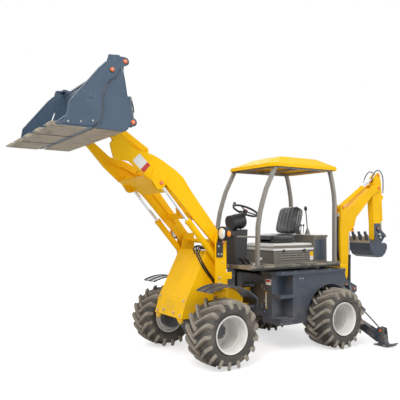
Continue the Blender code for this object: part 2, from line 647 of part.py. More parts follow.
def loader_arm():
    solids = [prism(arm_outline(tip), *span(side, ARM_IN, ARM_OUT)) for tip, side in ((HOSE_LUG, 1), (PLAIN_TIP, -1))]
    # torque box across, at the knee, and the rocker's two lugs on it
    torque = [(0.45, 2.05), (0.54, 2.105), (0.80, 2.125), (0.83, 2.10), (0.64, 2.04), (0.50, 1.95), (0.44, 1.96)]
    solids.append(prism(torque, -ARM_IN - 0.001, ARM_IN + 0.001))
    for y in ((-0.055, -0.035), (0.035, 0.055)):
        solids.append(prism([(0.55, 2.10), (0.60, 2.21), (0.64, 2.235), (0.69, 2.235), (0.73, 2.20), (0.76, 2.16)], *y))
    solids.append(pin(ROCKER_PIN, -0.06, 0.06, 0.020))
    # lower cross tube with the tilt cylinder's lugs
    solids.append(rod((0.10, -ARM_IN - 0.01, 1.69), (0.10, ARM_IN + 0.01, 1.69), 0.038, 16))
    for y in ((-0.062, -0.047), (0.047, 0.062)):
        solids.append(prism([(0.05, 1.66), (0.06, 1.78), (0.09, 1.83), (0.15, 1.83), (0.18, 1.78), (0.16, 1.68)], *y))
    solids.append(pin(TILT_BASE, -0.06, 0.06, 0.018))
    for _, side in SIDES:
        # lugs each side of the lift rod's eye, open at the pin
        for y in ((ARM_IN - 0.012, ARM_IN + 0.001), (ARM_OUT - 0.001, ARM_OUT + 0.012)):
            lug = [(0.56, 2.06), (0.53, 2.15), (0.72, 2.20), (0.76, 2.09)] + arc((0.645, 2.035), 0.062, -20, -150, 6)
            solids.append(prism(lug, *span(side, *y)))
        solids.append(pin(BUCKET_PIN, *span(side, ARM_IN - 0.022, ARM_OUT + 0.022), 0.022))
    cuts = [pin(ARM_PIN, -0.5, 0.5, 0.028 + PLAY, 20)]
    for _, side in SIDES:
        room = arc((0.615, 2.025), 0.080, 0, 330, 11)
        cuts.append(prism(room, *span(side, ARM_IN + 0.001, ARM_OUT - 0.001)))
    part("loader_arm", "yellow_paint", solids, cuts, at(ARM_PIN))


loader_arm()

LIFT_TUBE, LIFT_STROKE = 0.668, 0.345
LIFT_ROD = 0.0175
for side_name, side in SIDES:
    y = side * CYLINDER_Y
    barrel(f"{side_name}_lift_cylinder", "yellow_paint", at(LIFT_BASE, y), at(LIFT_EYE, y), LIFT_TUBE, 0.037, LIFT_ROD,
           0.042, 0.024 + PLAY, 0.036)
    piston_rod(f"{side_name}_lift_rod", at(LIFT_BASE, y), at(LIFT_EYE, y), rod_start(0.042, LIFT_STROKE),
               LIFT_ROD, 0.034, 0.016)

# ---------------------------------------------------------------- tilt linkage
TILT_TUBE, TILT_STROKE = 0.42, 0.222
barrel("tilt_cylinder", "yellow_paint", at(TILT_BASE), at(TILT_EYE), TILT_TUBE, 0.036, 0.019, 0.038, 0.018 + PLAY, 0.042)
piston_rod("tilt_rod", at(TILT_BASE), at(TILT_EYE), rod_start(0.038, TILT_STROKE), 0.019, 0.026, 0.018)


LINK_PIN = 0.014
LINK_Y = (0.036, 0.046)      # the link's two bars, outside the rocker's plates


def tilt_rocker():
    outline = (arc(ROCKER_PIN, 0.042, ROCKER_ANGLE + 90, ROCKER_ANGLE + 270, 8)
               + arc(ROCKER_END, 0.034, ROCKER_ANGLE - 90, ROCKER_ANGLE + 90, 8))
    solids = [prism(outline, *y) for y in ((-0.030, -0.022), (0.022, 0.030))]
    solids.append(pin(ROCKER_PIN, -0.0301, 0.0301, 0.040, 20))
    solids.append(pin(ROCKER_END, -0.052, 0.052, LINK_PIN))
    part("tilt_rocker", "yellow_paint", solids, [pin(ROCKER_PIN, -0.1, 0.1, 0.020 + PLAY, 20)], at(ROCKER_PIN))


def tilt_link():
    a, b = Vector(ROCKER_END), Vector(LINK_EYE)
    lean = math.degrees(math.atan2(b.y - a.y, b.x - a.x))
    outline = arc(a, 0.034, lean + 90, lean + 270, 8) + arc(b, 0.034, lean - 90, lean + 90, 8)
    middle = (a + b) / 2
    solids = [prism(outline, *span(side, *LINK_Y)) for _, side in SIDES]
    solids.append(pin(middle, -LINK_Y[1] + 0.001, LINK_Y[1] - 0.001, 0.015))
    part("tilt_link", "yellow_paint", solids, [pin(ROCKER_END, -0.1, 0.1, LINK_PIN + PLAY, 16)], at(ROCKER_END))


tilt_rocker()
tilt_link()

# ---------------------------------------------------------------- loader bucket: back half and jaw
SEAM = [(1.600, 2.493), (1.520, 2.560), (1.490, 2.680), (1.490, 2.830), (1.470, 2.930), (1.425, 2.990)]
JAW_GAP = 0.006
JAW_CYL_Y = BUCKET_Y - 0.065
BACK_TOP = 3.175


def loader_bucket():
    back = [(1.255, 2.497), (1.560, 2.497), (1.560, 2.509), (1.300, 2.512), (1.286, 2.60), (1.349, BACK_TOP),
            (1.337, BACK_TOP)]
    inner_y = BUCKET_Y - WALL - JAW_GAP
    solids = [prism(back, -inner_y, inner_y)]
    side_plate = [(1.255, 2.497), (1.560, 2.497), (1.520, 2.560), (1.490, 2.680), (1.490, 2.830), (1.450, 2.960),
                  (1.451, 3.10), (1.40, 3.125), (1.337, BACK_TOP), (1.305, 3.12), (1.193, 2.66), (1.197, 2.60), (1.228, 2.52)]
    for _, side in SIDES:
        solids.append(prism(side_plate, *span(side, inner_y - WALL, inner_y + 0.0005)))
        # rear corner that carries the jaw cylinder's base pin
        for low in (JAW_CYL_Y - 0.036, JAW_CYL_Y + 0.026):
            corner = [(1.29, 2.60), (1.262, 2.515)] + arc(JAW_BASE, 0.042, -60, -260, 8) + [(1.30, 2.72)]
            solids.append(prism(corner, *span(side, low, low + 0.010)))
        solids.append(pin(JAW_BASE, *span(side, JAW_CYL_Y - 0.03, JAW_CYL_Y + 0.03), 0.03))
        solids.append(pin(JAW_PIN, *span(side, BUCKET_Y - 0.035, BUCKET_Y + 0.008), 0.024))
        # ears on the arm's pin
        for low in (ARM_IN - 0.018, ARM_OUT + 0.006):
            ear = [(1.30, 2.505), (1.258, 2.499)] + arc(BUCKET_PIN, 0.048, -80, -240, 8) + [(1.30, 2.70)]
            solids.append(prism(ear, *span(side, low, low + 0.012)))
    for low in (-0.034, 0.022):
        lug = [(1.30, 2.72), (1.26, 2.72)] + arc(LINK_EYE, 0.034, -60, -260, 8) + [(1.32, 2.88)]
        solids.append(prism(lug, low, low + 0.012))
    axis = (at(JAW_EYE) - at(JAW_BASE)).normalized()
    cuts = [pin(BUCKET_PIN, -0.5, 0.5, 0.022 + PLAY)]
    for _, side in SIDES:
        base = at(JAW_BASE, side * JAW_CYL_Y)
        solids.append(rod(base, base + axis * 0.26, 0.030, 20))
        cuts.append(rod(base + axis * 0.05, base + axis * 0.5, 0.015 + SLIDE, 20))
    part("loader_bucket", "blue_grey_paint", solids, cuts, at(BUCKET_PIN))
    for side_name, side in SIDES:
        y = side * JAW_CYL_Y
        base = at(JAW_BASE, y)
        eye = at(JAW_EYE, y)
        part(f"{side_name}_jaw_rod", "chrome",
             [rod(base + axis * 0.235, eye, 0.015, 16), pin(JAW_EYE, *span(side, JAW_CYL_Y - 0.016, JAW_CYL_Y + 0.016),
                                                            0.026)], pivot=eye)


def bucket_jaw():
    floor = [(1.600, 2.493), (1.95, 2.490), (1.95, 2.506), (1.600, 2.512)]
    solids = [prism(floor, -BUCKET_Y, BUCKET_Y)]
    plate = [(1.600, 2.493), (1.93, 2.490), (1.845, 2.59), (1.829, 2.708), (1.548, 3.060), (1.470, 3.140), (1.445, 3.225),
             (1.352, 3.232), (1.335, 3.222), (1.30, 3.225)] + arc(JAW_EYE, 0.042, 90, 250, 6) + [
                 (1.335, 3.10), (1.37, 3.02), (1.425, 2.985), (1.470, 2.93), (1.500, 2.83), (1.500, 2.68), (1.530, 2.56)]
    for _, side in SIDES:
        solids.append(prism(plate, *span(side, BUCKET_Y - WALL, BUCKET_Y)))
        lever = [(1.37, 3.230), (1.30, 3.226)] + arc(JAW_EYE, 0.040, 90, 300, 6) + [(1.327, 3.205), (1.37, 3.21)]
        lever_y = span(side, JAW_CYL_Y - 0.036, JAW_CYL_Y - 0.024)
        solids.append(prism(lever, *lever_y))
        solids.append(prism([(1.33, 3.207), (1.38, 3.207), (1.38, 3.234), (1.33, 3.234)],
                            *span(side, JAW_CYL_Y - 0.036, BUCKET_Y)))
    for i in range(5):
        y = (i - 2) * (BUCKET_Y * 2 - 0.16) / 4
        tooth = [(1.88, 2.484), (2.033, 2.484), (2.033, 2.492), (1.97, 2.524), (1.88, 2.524)]
        solids.append(prism(tooth, y - 0.034, y + 0.034))
    cuts = [pin(JAW_PIN, -1, 1, 0.024 + PLAY)]
    part("bucket_jaw", "blue_grey_paint", solids, cuts, at(JAW_PIN))


loader_bucket()
bucket_jaw()

# ---------------------------------------------------------------- tower hoses
def tower_hoses():
    solids = []
    for y, drop in ((0.20, 0.0), (0.165, 0.01)):
        route = [(0.03 + drop, y, 1.235), (0.055 + drop, y + 0.015, 1.30), (0.03, y + 0.05, 1.33),
                 (-0.02, y + 0.08, 1.30)]
        solids.append(pipe(smooth_line(route, 5), 0.010, 2))
    solids.append(box((-0.03, -0.01), (0.20, 0.30), (1.285, 1.31)))
    part("tower_hoses", "hose_rubber", solids)


# ---------------------------------------------------------------- backhoe
POST_SIDE = (0.088, 0.108)
BOOM_HALF = 0.075


def swing_post():
    outline = [(-2.56, 0.495), (-2.56, 0.845), (-2.62, 0.845), (-2.72, 0.74), (-2.90, 0.66), (-2.90, 0.575),
               (-2.80, 0.53), (-2.62, 0.495)]
    solids = [prism(outline, *y) for y in (POST_SIDE, (-POST_SIDE[1], -POST_SIDE[0]))]
    solids.append(rod((SWING_X, 0, 0.495), (SWING_X, 0, 0.845), 0.070, 20))
    solids.append(box((-2.59, -2.53), (-0.09, 0.09), (0.4955, 0.8445)))
    solids.append(pin(BOOM_PIN, -0.10, 0.10, 0.026, 20))
    solids.append(pin(BOOM_BASE, -0.10, 0.10, 0.020, 20))
    hole = rod((SWING_X, 0, 0.3), (SWING_X, 0, 1.0), 0.03 + PLAY, 20)
    part("swing_post", "slate_paint", solids, [hole], (SWING_X, 0, 0.67))


def backhoe_boom():
    side = ([(-2.612, 0.70), (-2.596, 0.90), (-2.592, 1.50), (-2.60, 1.64), (-2.615, 1.86)]
            + arc(DIPPER_BASE, 0.045, 20, 150, 4)
            + [(-2.78, 1.80), (-3.02, 1.975), (-3.40, 2.22)] + arc(DIPPER_PIN, 0.062, 100, 290, 8)
            + [(-3.36, 2.06), (-3.22, 1.93), (-2.95, 1.69), (-2.905, 1.56)] + arc(BOOM_EYE, 0.036, 120, 320, 6)
            + [(-2.775, 1.46), (-2.745, 0.85)] + arc(BOOM_PIN, 0.045, 200, 340, 6))
    solids = [prism(side, -BOOM_HALF, BOOM_HALF)]
    cuts = [pin(BOOM_PIN, -0.2, 0.2, 0.026 + PLAY, 20)]
    # clevis slots for the two rod ends, the dipper cylinder's foot and the dipper's knuckle
    cuts.append(prism([(-2.77, 1.40), (-2.77, 1.60), (-2.83, 1.62), (-2.97, 1.57), (-2.97, 1.40)], -0.032, 0.032))
    cuts.append(prism([(-2.58, 1.775), (-2.58, 1.95), (-2.80, 1.95), (-2.745, 1.80), (-2.70, 1.775)], -0.042, 0.042))
    cuts.append(prism([(-3.29, 2.02), (-3.30, 2.38), (-3.60, 2.38), (-3.60, 2.02)], -0.058, 0.058))
    solids_pins = [pin(DIPPER_BASE, -0.06, 0.06, 0.018), pin(DIPPER_PIN, -0.065, 0.065, 0.024)]
    body = part("boom_blank", "yellow_paint", solids, cuts)
    body.location = (0, 0, 0)
    part("backhoe_boom", "yellow_paint", [body] + solids_pins, (), at(BOOM_PIN))


def dipper():
    side = ([(-3.400, 2.10), (-3.42, 2.33), (-3.455, 2.36)] + arc(DIPPER_EYE, 0.042, 90, 180, 4)
            + [(-3.585, 2.24), (-3.590, 2.05), (-3.575, 1.95), (-3.545, 1.53)] + arc(SCOOP_PIN, 0.042, 200, 350, 6)
            + [(-3.395, 1.53), (-3.375, 1.80), (-3.365, 2.02)])
    solids = [prism(side, -0.050, 0.050)]
    for y in ((-0.041, -0.029), (0.029, 0.041)):
        solids.append(prism([(-3.55, 1.93), (-3.56, 2.10)] + arc(SCOOP_BASE, 0.030, 120, 240, 4)[:], *y))
    cuts = [pin(DIPPER_PIN, -0.2, 0.2, 0.024 + PLAY),
            pin(SCOOP_PIN, -0.2, 0.2, 0.020 + PLAY),
            prism([(-3.36, 2.20), (-3.36, 2.5), (-3.60, 2.5), (-3.60, 2.33), (-3.47, 2.28)], -0.024, 0.024)]
    body = part("dipper_blank", "yellow_paint", solids, cuts)
    body.location = (0, 0, 0)
    part("dipper", "yellow_paint", [body, pin(SCOOP_BASE, -0.038, 0.038, 0.014), pin(ROCKER2_PIN, -0.062, 0.062, 0.016)],
         (), at(DIPPER_PIN))


def backhoe_bucket():
    outer = [(-3.05, 1.40), (-3.075, 1.30), (-3.12, 1.19), (-3.19, 1.11), (-3.28, 1.075), (-3.38, 1.085),
             (-3.455, 1.14), (-3.495, 1.215), (-3.495, 1.27)]
    middle = (-3.27, 1.30)

    def inward(point, depth):
        away = Vector(point) - Vector(middle)
        return tuple(Vector(point) - away.normalized() * depth)

    shell = outer + [inward(p, 0.014) for p in outer[::-1]]
    width = 0.21
    solids = [prism(shell, -width, width)]
    cheek = outer + [(-3.44, 1.30), (-3.25, 1.285), (-3.10, 1.36)]
    for y in ((-width, -width + 0.012), (width - 0.012, width)):
        solids.append(prism(cheek, *y))
    for side in (1, -1):
        ear = [(-3.47, 1.15), (-3.40, 1.11), (-3.36, 1.28), (-3.385, 1.33)] + arc(SCOOP_PIN, 0.045, -20, 110, 4) + \
            arc(SCOOP_LINK, 0.032, 110, 260, 5)
        solids.append(prism(ear, *span(side, 0.056, 0.070)))
    solids.append(pin(SCOOP_PIN, -0.07, 0.07, 0.020))
    for i in range(4):
        y = (i - 1.5) * 0.118
        tooth = [(-3.065, 1.34), (-3.045, 1.345), (-3.012, 1.47), (-3.022, 1.48), (-3.048, 1.42), (-3.075, 1.37)]
        solids.append(prism(tooth, y - 0.022, y + 0.022))
    part("backhoe_bucket", "slate_paint", solids, (), at(SCOOP_PIN))


def link_bar(a, b, radius):
    a, b = Vector(a), Vector(b)
    lean = math.degrees(math.atan2(b.y - a.y, b.x - a.x))
    return arc(a, radius, lean + 90, lean + 270, 6) + arc(b, radius, lean - 90, lean + 90, 6)


def bucket_links():
    bar = link_bar(ROCKER2_PIN, SCOOP_EYE, 0.026)
    solids = [prism(bar, *y) for y in ((-0.070, -0.056), (0.056, 0.070))]
    for _, side in SIDES:
        solids.append(pin(SCOOP_EYE, *span(side, 0.034, 0.0705), 0.014))
    middle = ((ROCKER2_PIN[0] + 2 * SCOOP_EYE[0]) / 3 + 0.012, (ROCKER2_PIN[1] + 2 * SCOOP_EYE[1]) / 3 + 0.012)
    solids.append(pin(middle, -0.0575, 0.0575, 0.012))
    part("bucket_rocker", "slate_paint", solids, [pin(ROCKER2_PIN, -0.2, 0.2, 0.016 + PLAY)], at(ROCKER2_PIN))
    bar = link_bar(SCOOP_EYE, SCOOP_LINK, 0.024)
    solids = [prism(bar, *y) for y in ((-0.050, -0.038), (0.038, 0.050))]
    solids.append(prism(link_bar((-3.60, 1.355), (-3.565, 1.31), 0.012), -0.045, 0.045))
    part("bucket_link", "slate_paint", solids, [pin(SCOOP_EYE, -0.2, 0.2, 0.014 + PLAY)], at(SCOOP_EYE))


swing_post()
backhoe_boom()
dipper()
backhoe_bucket()
bucket_links()

BOOM_STROKE, DIPPER_STROKE, SCOOP_STROKE = 0.200, 0.204, 0.119
barrel("boom_cylinder", "black_paint", at(BOOM_BASE), at(BOOM_EYE), 0.50, 0.033, 0.018, 0.036, 0.020 + PLAY, 0.05)
piston_rod("boom_rod", at(BOOM_BASE), at(BOOM_EYE), rod_start(0.036, BOOM_STROKE), 0.018, 0.030, 0.024)
barrel("dipper_cylinder", "yellow_paint", at(DIPPER_BASE), at(DIPPER_EYE), 0.62, 0.033, 0.018, 0.034, 0.018 + PLAY, 0.034)
piston_rod("dipper_rod", at(DIPPER_BASE), at(DIPPER_EYE), rod_start(0.034, DIPPER_STROKE), 0.018, 0.028, 0.018)
barrel("bucket_cylinder", "yellow_paint", at(SCOOP_BASE), at(SCOOP_EYE), 0.38, 0.026, 0.014, 0.024, 0.014 + PLAY, 0.016)
piston_rod("bucket_rod", at(SCOOP_BASE), at(SCOOP_EYE), rod_start(0.024, SCOOP_STROKE), 0.014, 0.022, 0.016)

# ---------------------------------------------------------------- stabilizers
LEG_MID = sum(LEG_X) / 2
LEG_STROKE = 0.290


def stabilizer(side_name, side):
    def outline(points):
        return [(side * y, z) for y, z in points]

    leg = arc(LEG_PIN, 0.042, 70, 250, 6) + [(0.92, 0.045), (1.035, 0.045), (1.045, 0.10), (1.03, 0.235), (0.95, 0.245),
                                           (0.90, 0.185)]
    solids = [prism(outline(leg), *LEG_X, "x")]
    shoe = [(0.90, 0.012), (1.12, 0.012), (1.16, 0.05), (1.15, 0.06), (1.10, 0.026), (0.92, 0.026)]
    solids.append(prism(outline(shoe), LEG_X[0] - 0.05, LEG_X[1] + 0.05, "x"))
    solids.append(prism(outline([(0.94, 0.02), (1.06, 0.02), (1.04, 0.10), (0.96, 0.10)]), *LEG_X, "x"))
    cuts = [rod((-2.6, side * LEG_PIN[0], LEG_PIN[1]), (-2.1, side * LEG_PIN[0], LEG_PIN[1]), 0.02 + PLAY),
            prism(outline([(0.80, 0.150), (1.10, 0.155), (1.10, 0.30), (0.80, 0.30)]), LEG_MID - 0.027, LEG_MID + 0.027,
                  "x")]
    pivot = Vector((LEG_MID, side * LEG_PIN[0], LEG_PIN[1]))
    part(f"{side_name}_stabilizer", "slate_paint", solids, cuts, pivot)
    base = Vector((LEG_MID, side * LEG_BASE[0], LEG_BASE[1]))
    eye = Vector((LEG_MID, side * LEG_EYE[0], LEG_EYE[1]))
    barrel(f"{side_name}_stabilizer_cylinder", "slate_paint", base, eye, 0.42, 0.027, 0.015, 0.032, 0.02 + PLAY, 0.035)
    piston_rod(f"{side_name}_stabilizer_rod", base, eye, rod_start(0.032, LEG_STROKE), 0.015, 0.024, 0.020)


for side_name, side in SIDES:
    stabilizer(side_name, side)

tower_hoses()
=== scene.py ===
"""Looks for the articulated backhoe loader: materials, small pieces, light and camera.

Places are in the machine's own measure, from the front axle: x forward, y left, z up, in metres.
place() turns them into the frame's.
"""
import json
import math

import bmesh
import bpy
from mathutils import Matrix, Vector


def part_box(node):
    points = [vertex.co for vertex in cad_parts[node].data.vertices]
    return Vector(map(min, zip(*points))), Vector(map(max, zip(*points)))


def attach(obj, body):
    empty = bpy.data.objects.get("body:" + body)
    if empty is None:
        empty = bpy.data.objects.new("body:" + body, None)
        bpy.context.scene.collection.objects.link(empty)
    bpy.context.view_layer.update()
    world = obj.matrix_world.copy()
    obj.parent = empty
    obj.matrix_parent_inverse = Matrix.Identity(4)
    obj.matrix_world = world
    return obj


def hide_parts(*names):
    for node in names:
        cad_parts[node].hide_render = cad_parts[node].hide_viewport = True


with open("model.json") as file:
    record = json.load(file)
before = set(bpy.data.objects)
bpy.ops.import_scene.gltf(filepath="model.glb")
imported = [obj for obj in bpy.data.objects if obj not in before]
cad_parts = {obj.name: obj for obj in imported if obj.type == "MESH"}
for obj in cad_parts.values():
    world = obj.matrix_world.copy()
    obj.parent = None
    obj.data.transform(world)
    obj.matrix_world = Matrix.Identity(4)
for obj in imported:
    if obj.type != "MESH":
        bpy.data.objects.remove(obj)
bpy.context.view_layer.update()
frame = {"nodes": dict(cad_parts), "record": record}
NODES = frame["nodes"]

SIDES = (("left", 1), ("right", -1))
TYRE_LOW, TYRE_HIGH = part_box("front_left_tyre")
AXLE_X = (TYRE_LOW.x + TYRE_HIGH.x) / 2


def place(x, y, z):
    return Vector((x + AXLE_X, y, z))


# ---------------------------------------------------------------- materials
class Shader:
    """A Principled material with noise-driven colour, roughness and bump."""

    def __init__(self, name, colour, roughness=0.4, metallic=0.0):
        self.material = bpy.data.materials.new(name)
        self.material.use_nodes = True
        self.tree = self.material.node_tree
        self.surface = self.tree.nodes["Principled BSDF"]
        self.surface.inputs["Base Color"].default_value = (*colour, 1)
        self.surface.inputs["Roughness"].default_value = roughness
        self.surface.inputs["Metallic"].default_value = metallic
        self.where = self.tree.nodes.new("ShaderNodeTexCoord").outputs["Object"]
        self.colour = self.constant(colour)
        self.rough = None

    def add(self, kind, **values):
        node = self.tree.nodes.new(kind)
        for key, value in values.items():
            setattr(node, key, value)
        return node

    def constant(self, colour):
        node = self.add("ShaderNodeRGB")
        node.outputs[0].default_value = (*colour, 1)
        return node.outputs[0]

    def link(self, a, b):
        self.tree.links.new(a, b)

    def noise(self, scale, detail=4.0, stretch=None):
        node = self.add("ShaderNodeTexNoise")
        node.inputs["Scale"].default_value = scale
        node.inputs["Detail"].default_value = detail
        source = self.where
        if stretch:
            mapping = self.add("ShaderNodeMapping")
            mapping.inputs["Scale"].default_value = stretch
            self.link(source, mapping.inputs["Vector"])
            source = mapping.outputs[0]
        self.link(source, node.inputs["Vector"])
        return node.outputs["Fac"]

    def ramp(self, value, low, high):
        node = self.add("ShaderNodeMapRange")
        self.link(value, node.inputs["Value"])
        node.inputs["From Min"].default_value = low
        node.inputs["From Max"].default_value = high
        return node.outputs[0]

    def maths(self, operation, a, b):
        node = self.add("ShaderNodeMath", operation=operation)
        for socket, value in zip(node.inputs, (a, b)):
            if isinstance(value, (int, float)):
                socket.default_value = value
            else:
                self.link(value, socket)
        return node.outputs[0]

    def tint(self, share, colour):
        """Lays a colour over what is there, where share is 1."""
        node = self.add("ShaderNodeMix", data_type="RGBA")
        self.link(share, node.inputs["Factor"])
        self.link(self.colour, node.inputs[6])
        self.link(self.constant(colour), node.inputs[7])
        self.colour = node.outputs[2]
        return self

    def mottle(self, scale, colour, low=0.5, high=0.75, amount=1.0):
        share = self.ramp(self.noise(scale), low, high)
        return self.tint(self.maths("MULTIPLY", share, amount), colour)

    def roughen(self, scale, low, high):
        node = self.add("ShaderNodeMapRange")
        self.link(self.noise(scale), node.inputs["Value"])
        node.inputs["From Min"].default_value, node.inputs["From Max"].default_value = 0.3, 0.7
        node.inputs["To Min"].default_value, node.inputs["To Max"].default_value = low, high
        self.link(node.outputs[0], self.surface.inputs["Roughness"])
        return self

    def bump(self, height, strength, distance=0.002):
        node = self.add("ShaderNodeBump")
        node.inputs["Strength"].default_value = strength
        node.inputs["Distance"].default_value = distance
        self.link(height, node.inputs["Height"])
        self.link(node.outputs[0], self.surface.inputs["Normal"])
        return self

    def dust(self, top, colour=(0.30, 0.24, 0.16), amount=0.5, scale=9.0):
        """Dust that fades out upwards, gone at the height top."""
        split = self.add("ShaderNodeSeparateXYZ")
        self.link(self.where, split.inputs[0])
        low = self.ramp(split.outputs["Z"], top, 0.0)
        spread = self.ramp(self.noise(scale, 6.0), 0.35, 0.7)
        return self.tint(self.maths("MULTIPLY", self.maths("MULTIPLY", low, spread), amount), colour)

    def done(self, coat=0.0, specular=0.5):
        self.link(self.colour, self.surface.inputs["Base Color"])
        self.surface.inputs["Coat Weight"].default_value = coat
        self.surface.inputs["Coat Roughness"].default_value = 0.12
        self.surface.inputs["Specular IOR Level"].default_value = specular
        return self.material


def paint(name, colour, roughness, dusty=0.9, coat=0.35, specular=0.5):
    shader = Shader(name, colour, roughness)
    darker = tuple(c * 0.82 for c in colour)
    shader.mottle(3.0, darker, 0.45, 0.8, 0.6).dust(dusty).roughen(14.0, roughness * 0.8, roughness * 1.3)
    return shader.bump(shader.noise(260.0, 2.0), 0.05, 0.0006).done(coat, specular)


YELLOW = paint("yellow_paint_look", (1.0, 0.56, 0.0), 0.5, coat=0.04, specular=0.15)
SLATE = paint("slate_paint_look", (0.042, 0.058, 0.086), 0.36)
BUCKET = Shader("bucket_paint_look", (0.052, 0.088, 0.135), 0.36)
BUCKET = (BUCKET.mottle(4.0, (0.036, 0.062, 0.10), 0.45, 0.8, 0.7).mottle(22.0, (0.26, 0.24, 0.20), 0.62, 0.80, 0.35)
          .roughen(12.0, 0.28, 0.5).bump(BUCKET.noise(60.0), 0.05, 0.002).done(0.3))
TAUPE = paint("taupe_paint_look", (0.155, 0.140, 0.112), 0.42, 0.5, 0.15)
GREY = paint("grey_paint_look", (0.20, 0.215, 0.235), 0.38, 0.9, 0.25)
POST = paint("post_paint_look", (0.225, 0.205, 0.175), 0.36, 0.5, 0.3)
FENDER = paint("fender_paint_look", (0.058, 0.068, 0.086), 0.38, 0.3, 0.25)
PALE = paint("pale_paint_look", (0.70, 0.70, 0.68), 0.4, 0.3, 0.2)
STONE = paint("stone_paint_look", (0.27, 0.25, 0.21), 0.45, 0.5, 0.1)
BLACK = paint("black_paint_look", (0.014, 0.014, 0.016), 0.4, 0.9, 0.2)
RED = paint("red_paint_look", (0.55, 0.02, 0.015), 0.35, 0.2, 0.3)
ORANGE_CAP = paint("orange_cap_look", (0.85, 0.16, 0.02), 0.4, 0.2, 0.2)
WHITE = paint("white_sticker_look", (0.80, 0.80, 0.78), 0.45, 0.2, 0.1)
RIM = Shader("rim_paint_look", (0.80, 0.79, 0.76), 0.4)
RIM = RIM.mottle(7.0, (0.50, 0.44, 0.35), 0.5, 0.8, 0.6).roughen(10.0, 0.3, 0.6).done(0.2)
CHROME = Shader("chrome_look", (0.82, 0.83, 0.85), 0.10, 1.0)
CHROME = CHROME.roughen(30.0, 0.06, 0.16).done()
STEEL = Shader("steel_look", (0.52, 0.51, 0.49), 0.35, 1.0)
STEEL = STEEL.mottle(30.0, (0.30, 0.24, 0.18), 0.6, 0.8, 0.6).roughen(25.0, 0.28, 0.5).done()
BRASS = Shader("brass_look", (0.70, 0.48, 0.16), 0.3, 1.0).roughen(25.0, 0.25, 0.4).done()
HOSE = Shader("hose_look", (0.012, 0.012, 0.013), 0.42)
HOSE = HOSE.bump(HOSE.noise(300.0), 0.1, 0.0008).done(0.1)
PLASTIC = Shader("plastic_look", (0.016, 0.016, 0.018), 0.42)
PLASTIC = PLASTIC.roughen(40.0, 0.35, 0.5).bump(PLASTIC.noise(500.0), 0.1, 0.0005).done()
IRON = Shader("iron_look", (0.05, 0.05, 0.05), 0.6, 0.3)
IRON = IRON.mottle(20.0, (0.10, 0.06, 0.03), 0.55, 0.75, 0.7).bump(IRON.noise(120.0), 0.3).done()
WORN = Shader("worn_steel_look", (0.42, 0.36, 0.27), 0.55, 0.25)
WORN = (WORN.mottle(9.0, (0.22, 0.19, 0.16), 0.45, 0.75, 0.8).mottle(35.0, (0.58, 0.52, 0.42), 0.58, 0.75, 0.6)
        .bump(WORN.noise(45.0, 8.0), 0.25).done())
TREAD = Shader("tread_look", (0.27, 0.235, 0.195), 0.92)
TREAD = (TREAD.mottle(9.0, (0.46, 0.41, 0.34), 0.42, 0.72, 0.75).mottle(30.0, (0.11, 0.10, 0.09), 0.58, 0.8, 0.7)
         .bump(TREAD.noise(90.0, 8.0), 0.35).done(0, 0.3))
SIDEWALL = Shader("sidewall_look", (0.075, 0.070, 0.064), 0.75)
SIDEWALL = (SIDEWALL.mottle(6.0, (0.21, 0.18, 0.145), 0.45, 0.75, 0.7)
            .bump(SIDEWALL.noise(110.0, 6.0), 0.15).done(0, 0.35))
VINYL = Shader("vinyl_look", (0.02, 0.02, 0.022), 0.38)
VINYL = VINYL.mottle(8.0, (0.16, 0.16, 0.17), 0.52, 0.72, 0.6).bump(VINYL.noise(26.0, 3.0), 0.25, 0.004).done(0.7)
DECK = Shader("deck_look", (0.11, 0.10, 0.085), 0.5)
DECK = (DECK.mottle(6.0, (0.46, 0.41, 0.31), 0.42, 0.66, 0.85).roughen(18.0, 0.4, 0.7)
        .bump(DECK.noise(70.0, 2.0), 0.3).done())
AMBER = Shader("amber_look", (0.95, 0.30, 0.02), 0.15).done(0.5)
GLASS = Shader("lens_look", (0.86, 0.88, 0.90), 0.08)
GLASS.surface.inputs["Metallic"].default_value = 0.35
GLASS = GLASS.bump(GLASS.noise(90.0, 1.0), 0.1, 0.001).done(0.8)

LOOKS = {"yellow_paint": YELLOW, "slate_paint": SLATE, "blue_grey_paint": BUCKET, "taupe_paint": TAUPE,
         "grey_paint": GREY, "black_paint": BLACK, "rim_paint": RIM, "chrome": CHROME, "tyre_rubber": SIDEWALL,
         "hose_rubber": HOSE, "seat_vinyl": VINYL, "black_plastic": PLASTIC, "cast_iron": IRON}
for part in frame["record"]["subparts"]:
    NODES[part["node"]].data.materials[0] = LOOKS[part["material_slot"]]
NODES["canopy_frame"].data.materials[0] = POST
for side_name, _ in SIDES:
    NODES[f"{side_name}_front_fender"].data.materials[0] = FENDER
NODES["platform"].data.materials[0] = DECK


# ---------------------------------------------------------------- building pieces
def finish_mesh(name, bm, look, body, bevel=0.0, smooth=40):
    bmesh.ops.recalc_face_normals(bm, faces=bm.faces)
    mesh = bpy.data.meshes.new(name)
    bm.to_mesh(mesh)
    bm.free()
    made = bpy.data.objects.new(name, mesh)
    bpy.context.collection.objects.link(made)
    mesh.materials.append(look)
    mesh.shade_smooth()
    mesh.set_sharp_from_angle(angle=math.radians(smooth))
    if bevel:
        step = made.modifiers.new("edges", "BEVEL")
        step.width = bevel
        step.segments = 2
        step.limit_method = "ANGLE"
        step.angle_limit = math.radians(40)
    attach(made, body)
    return made


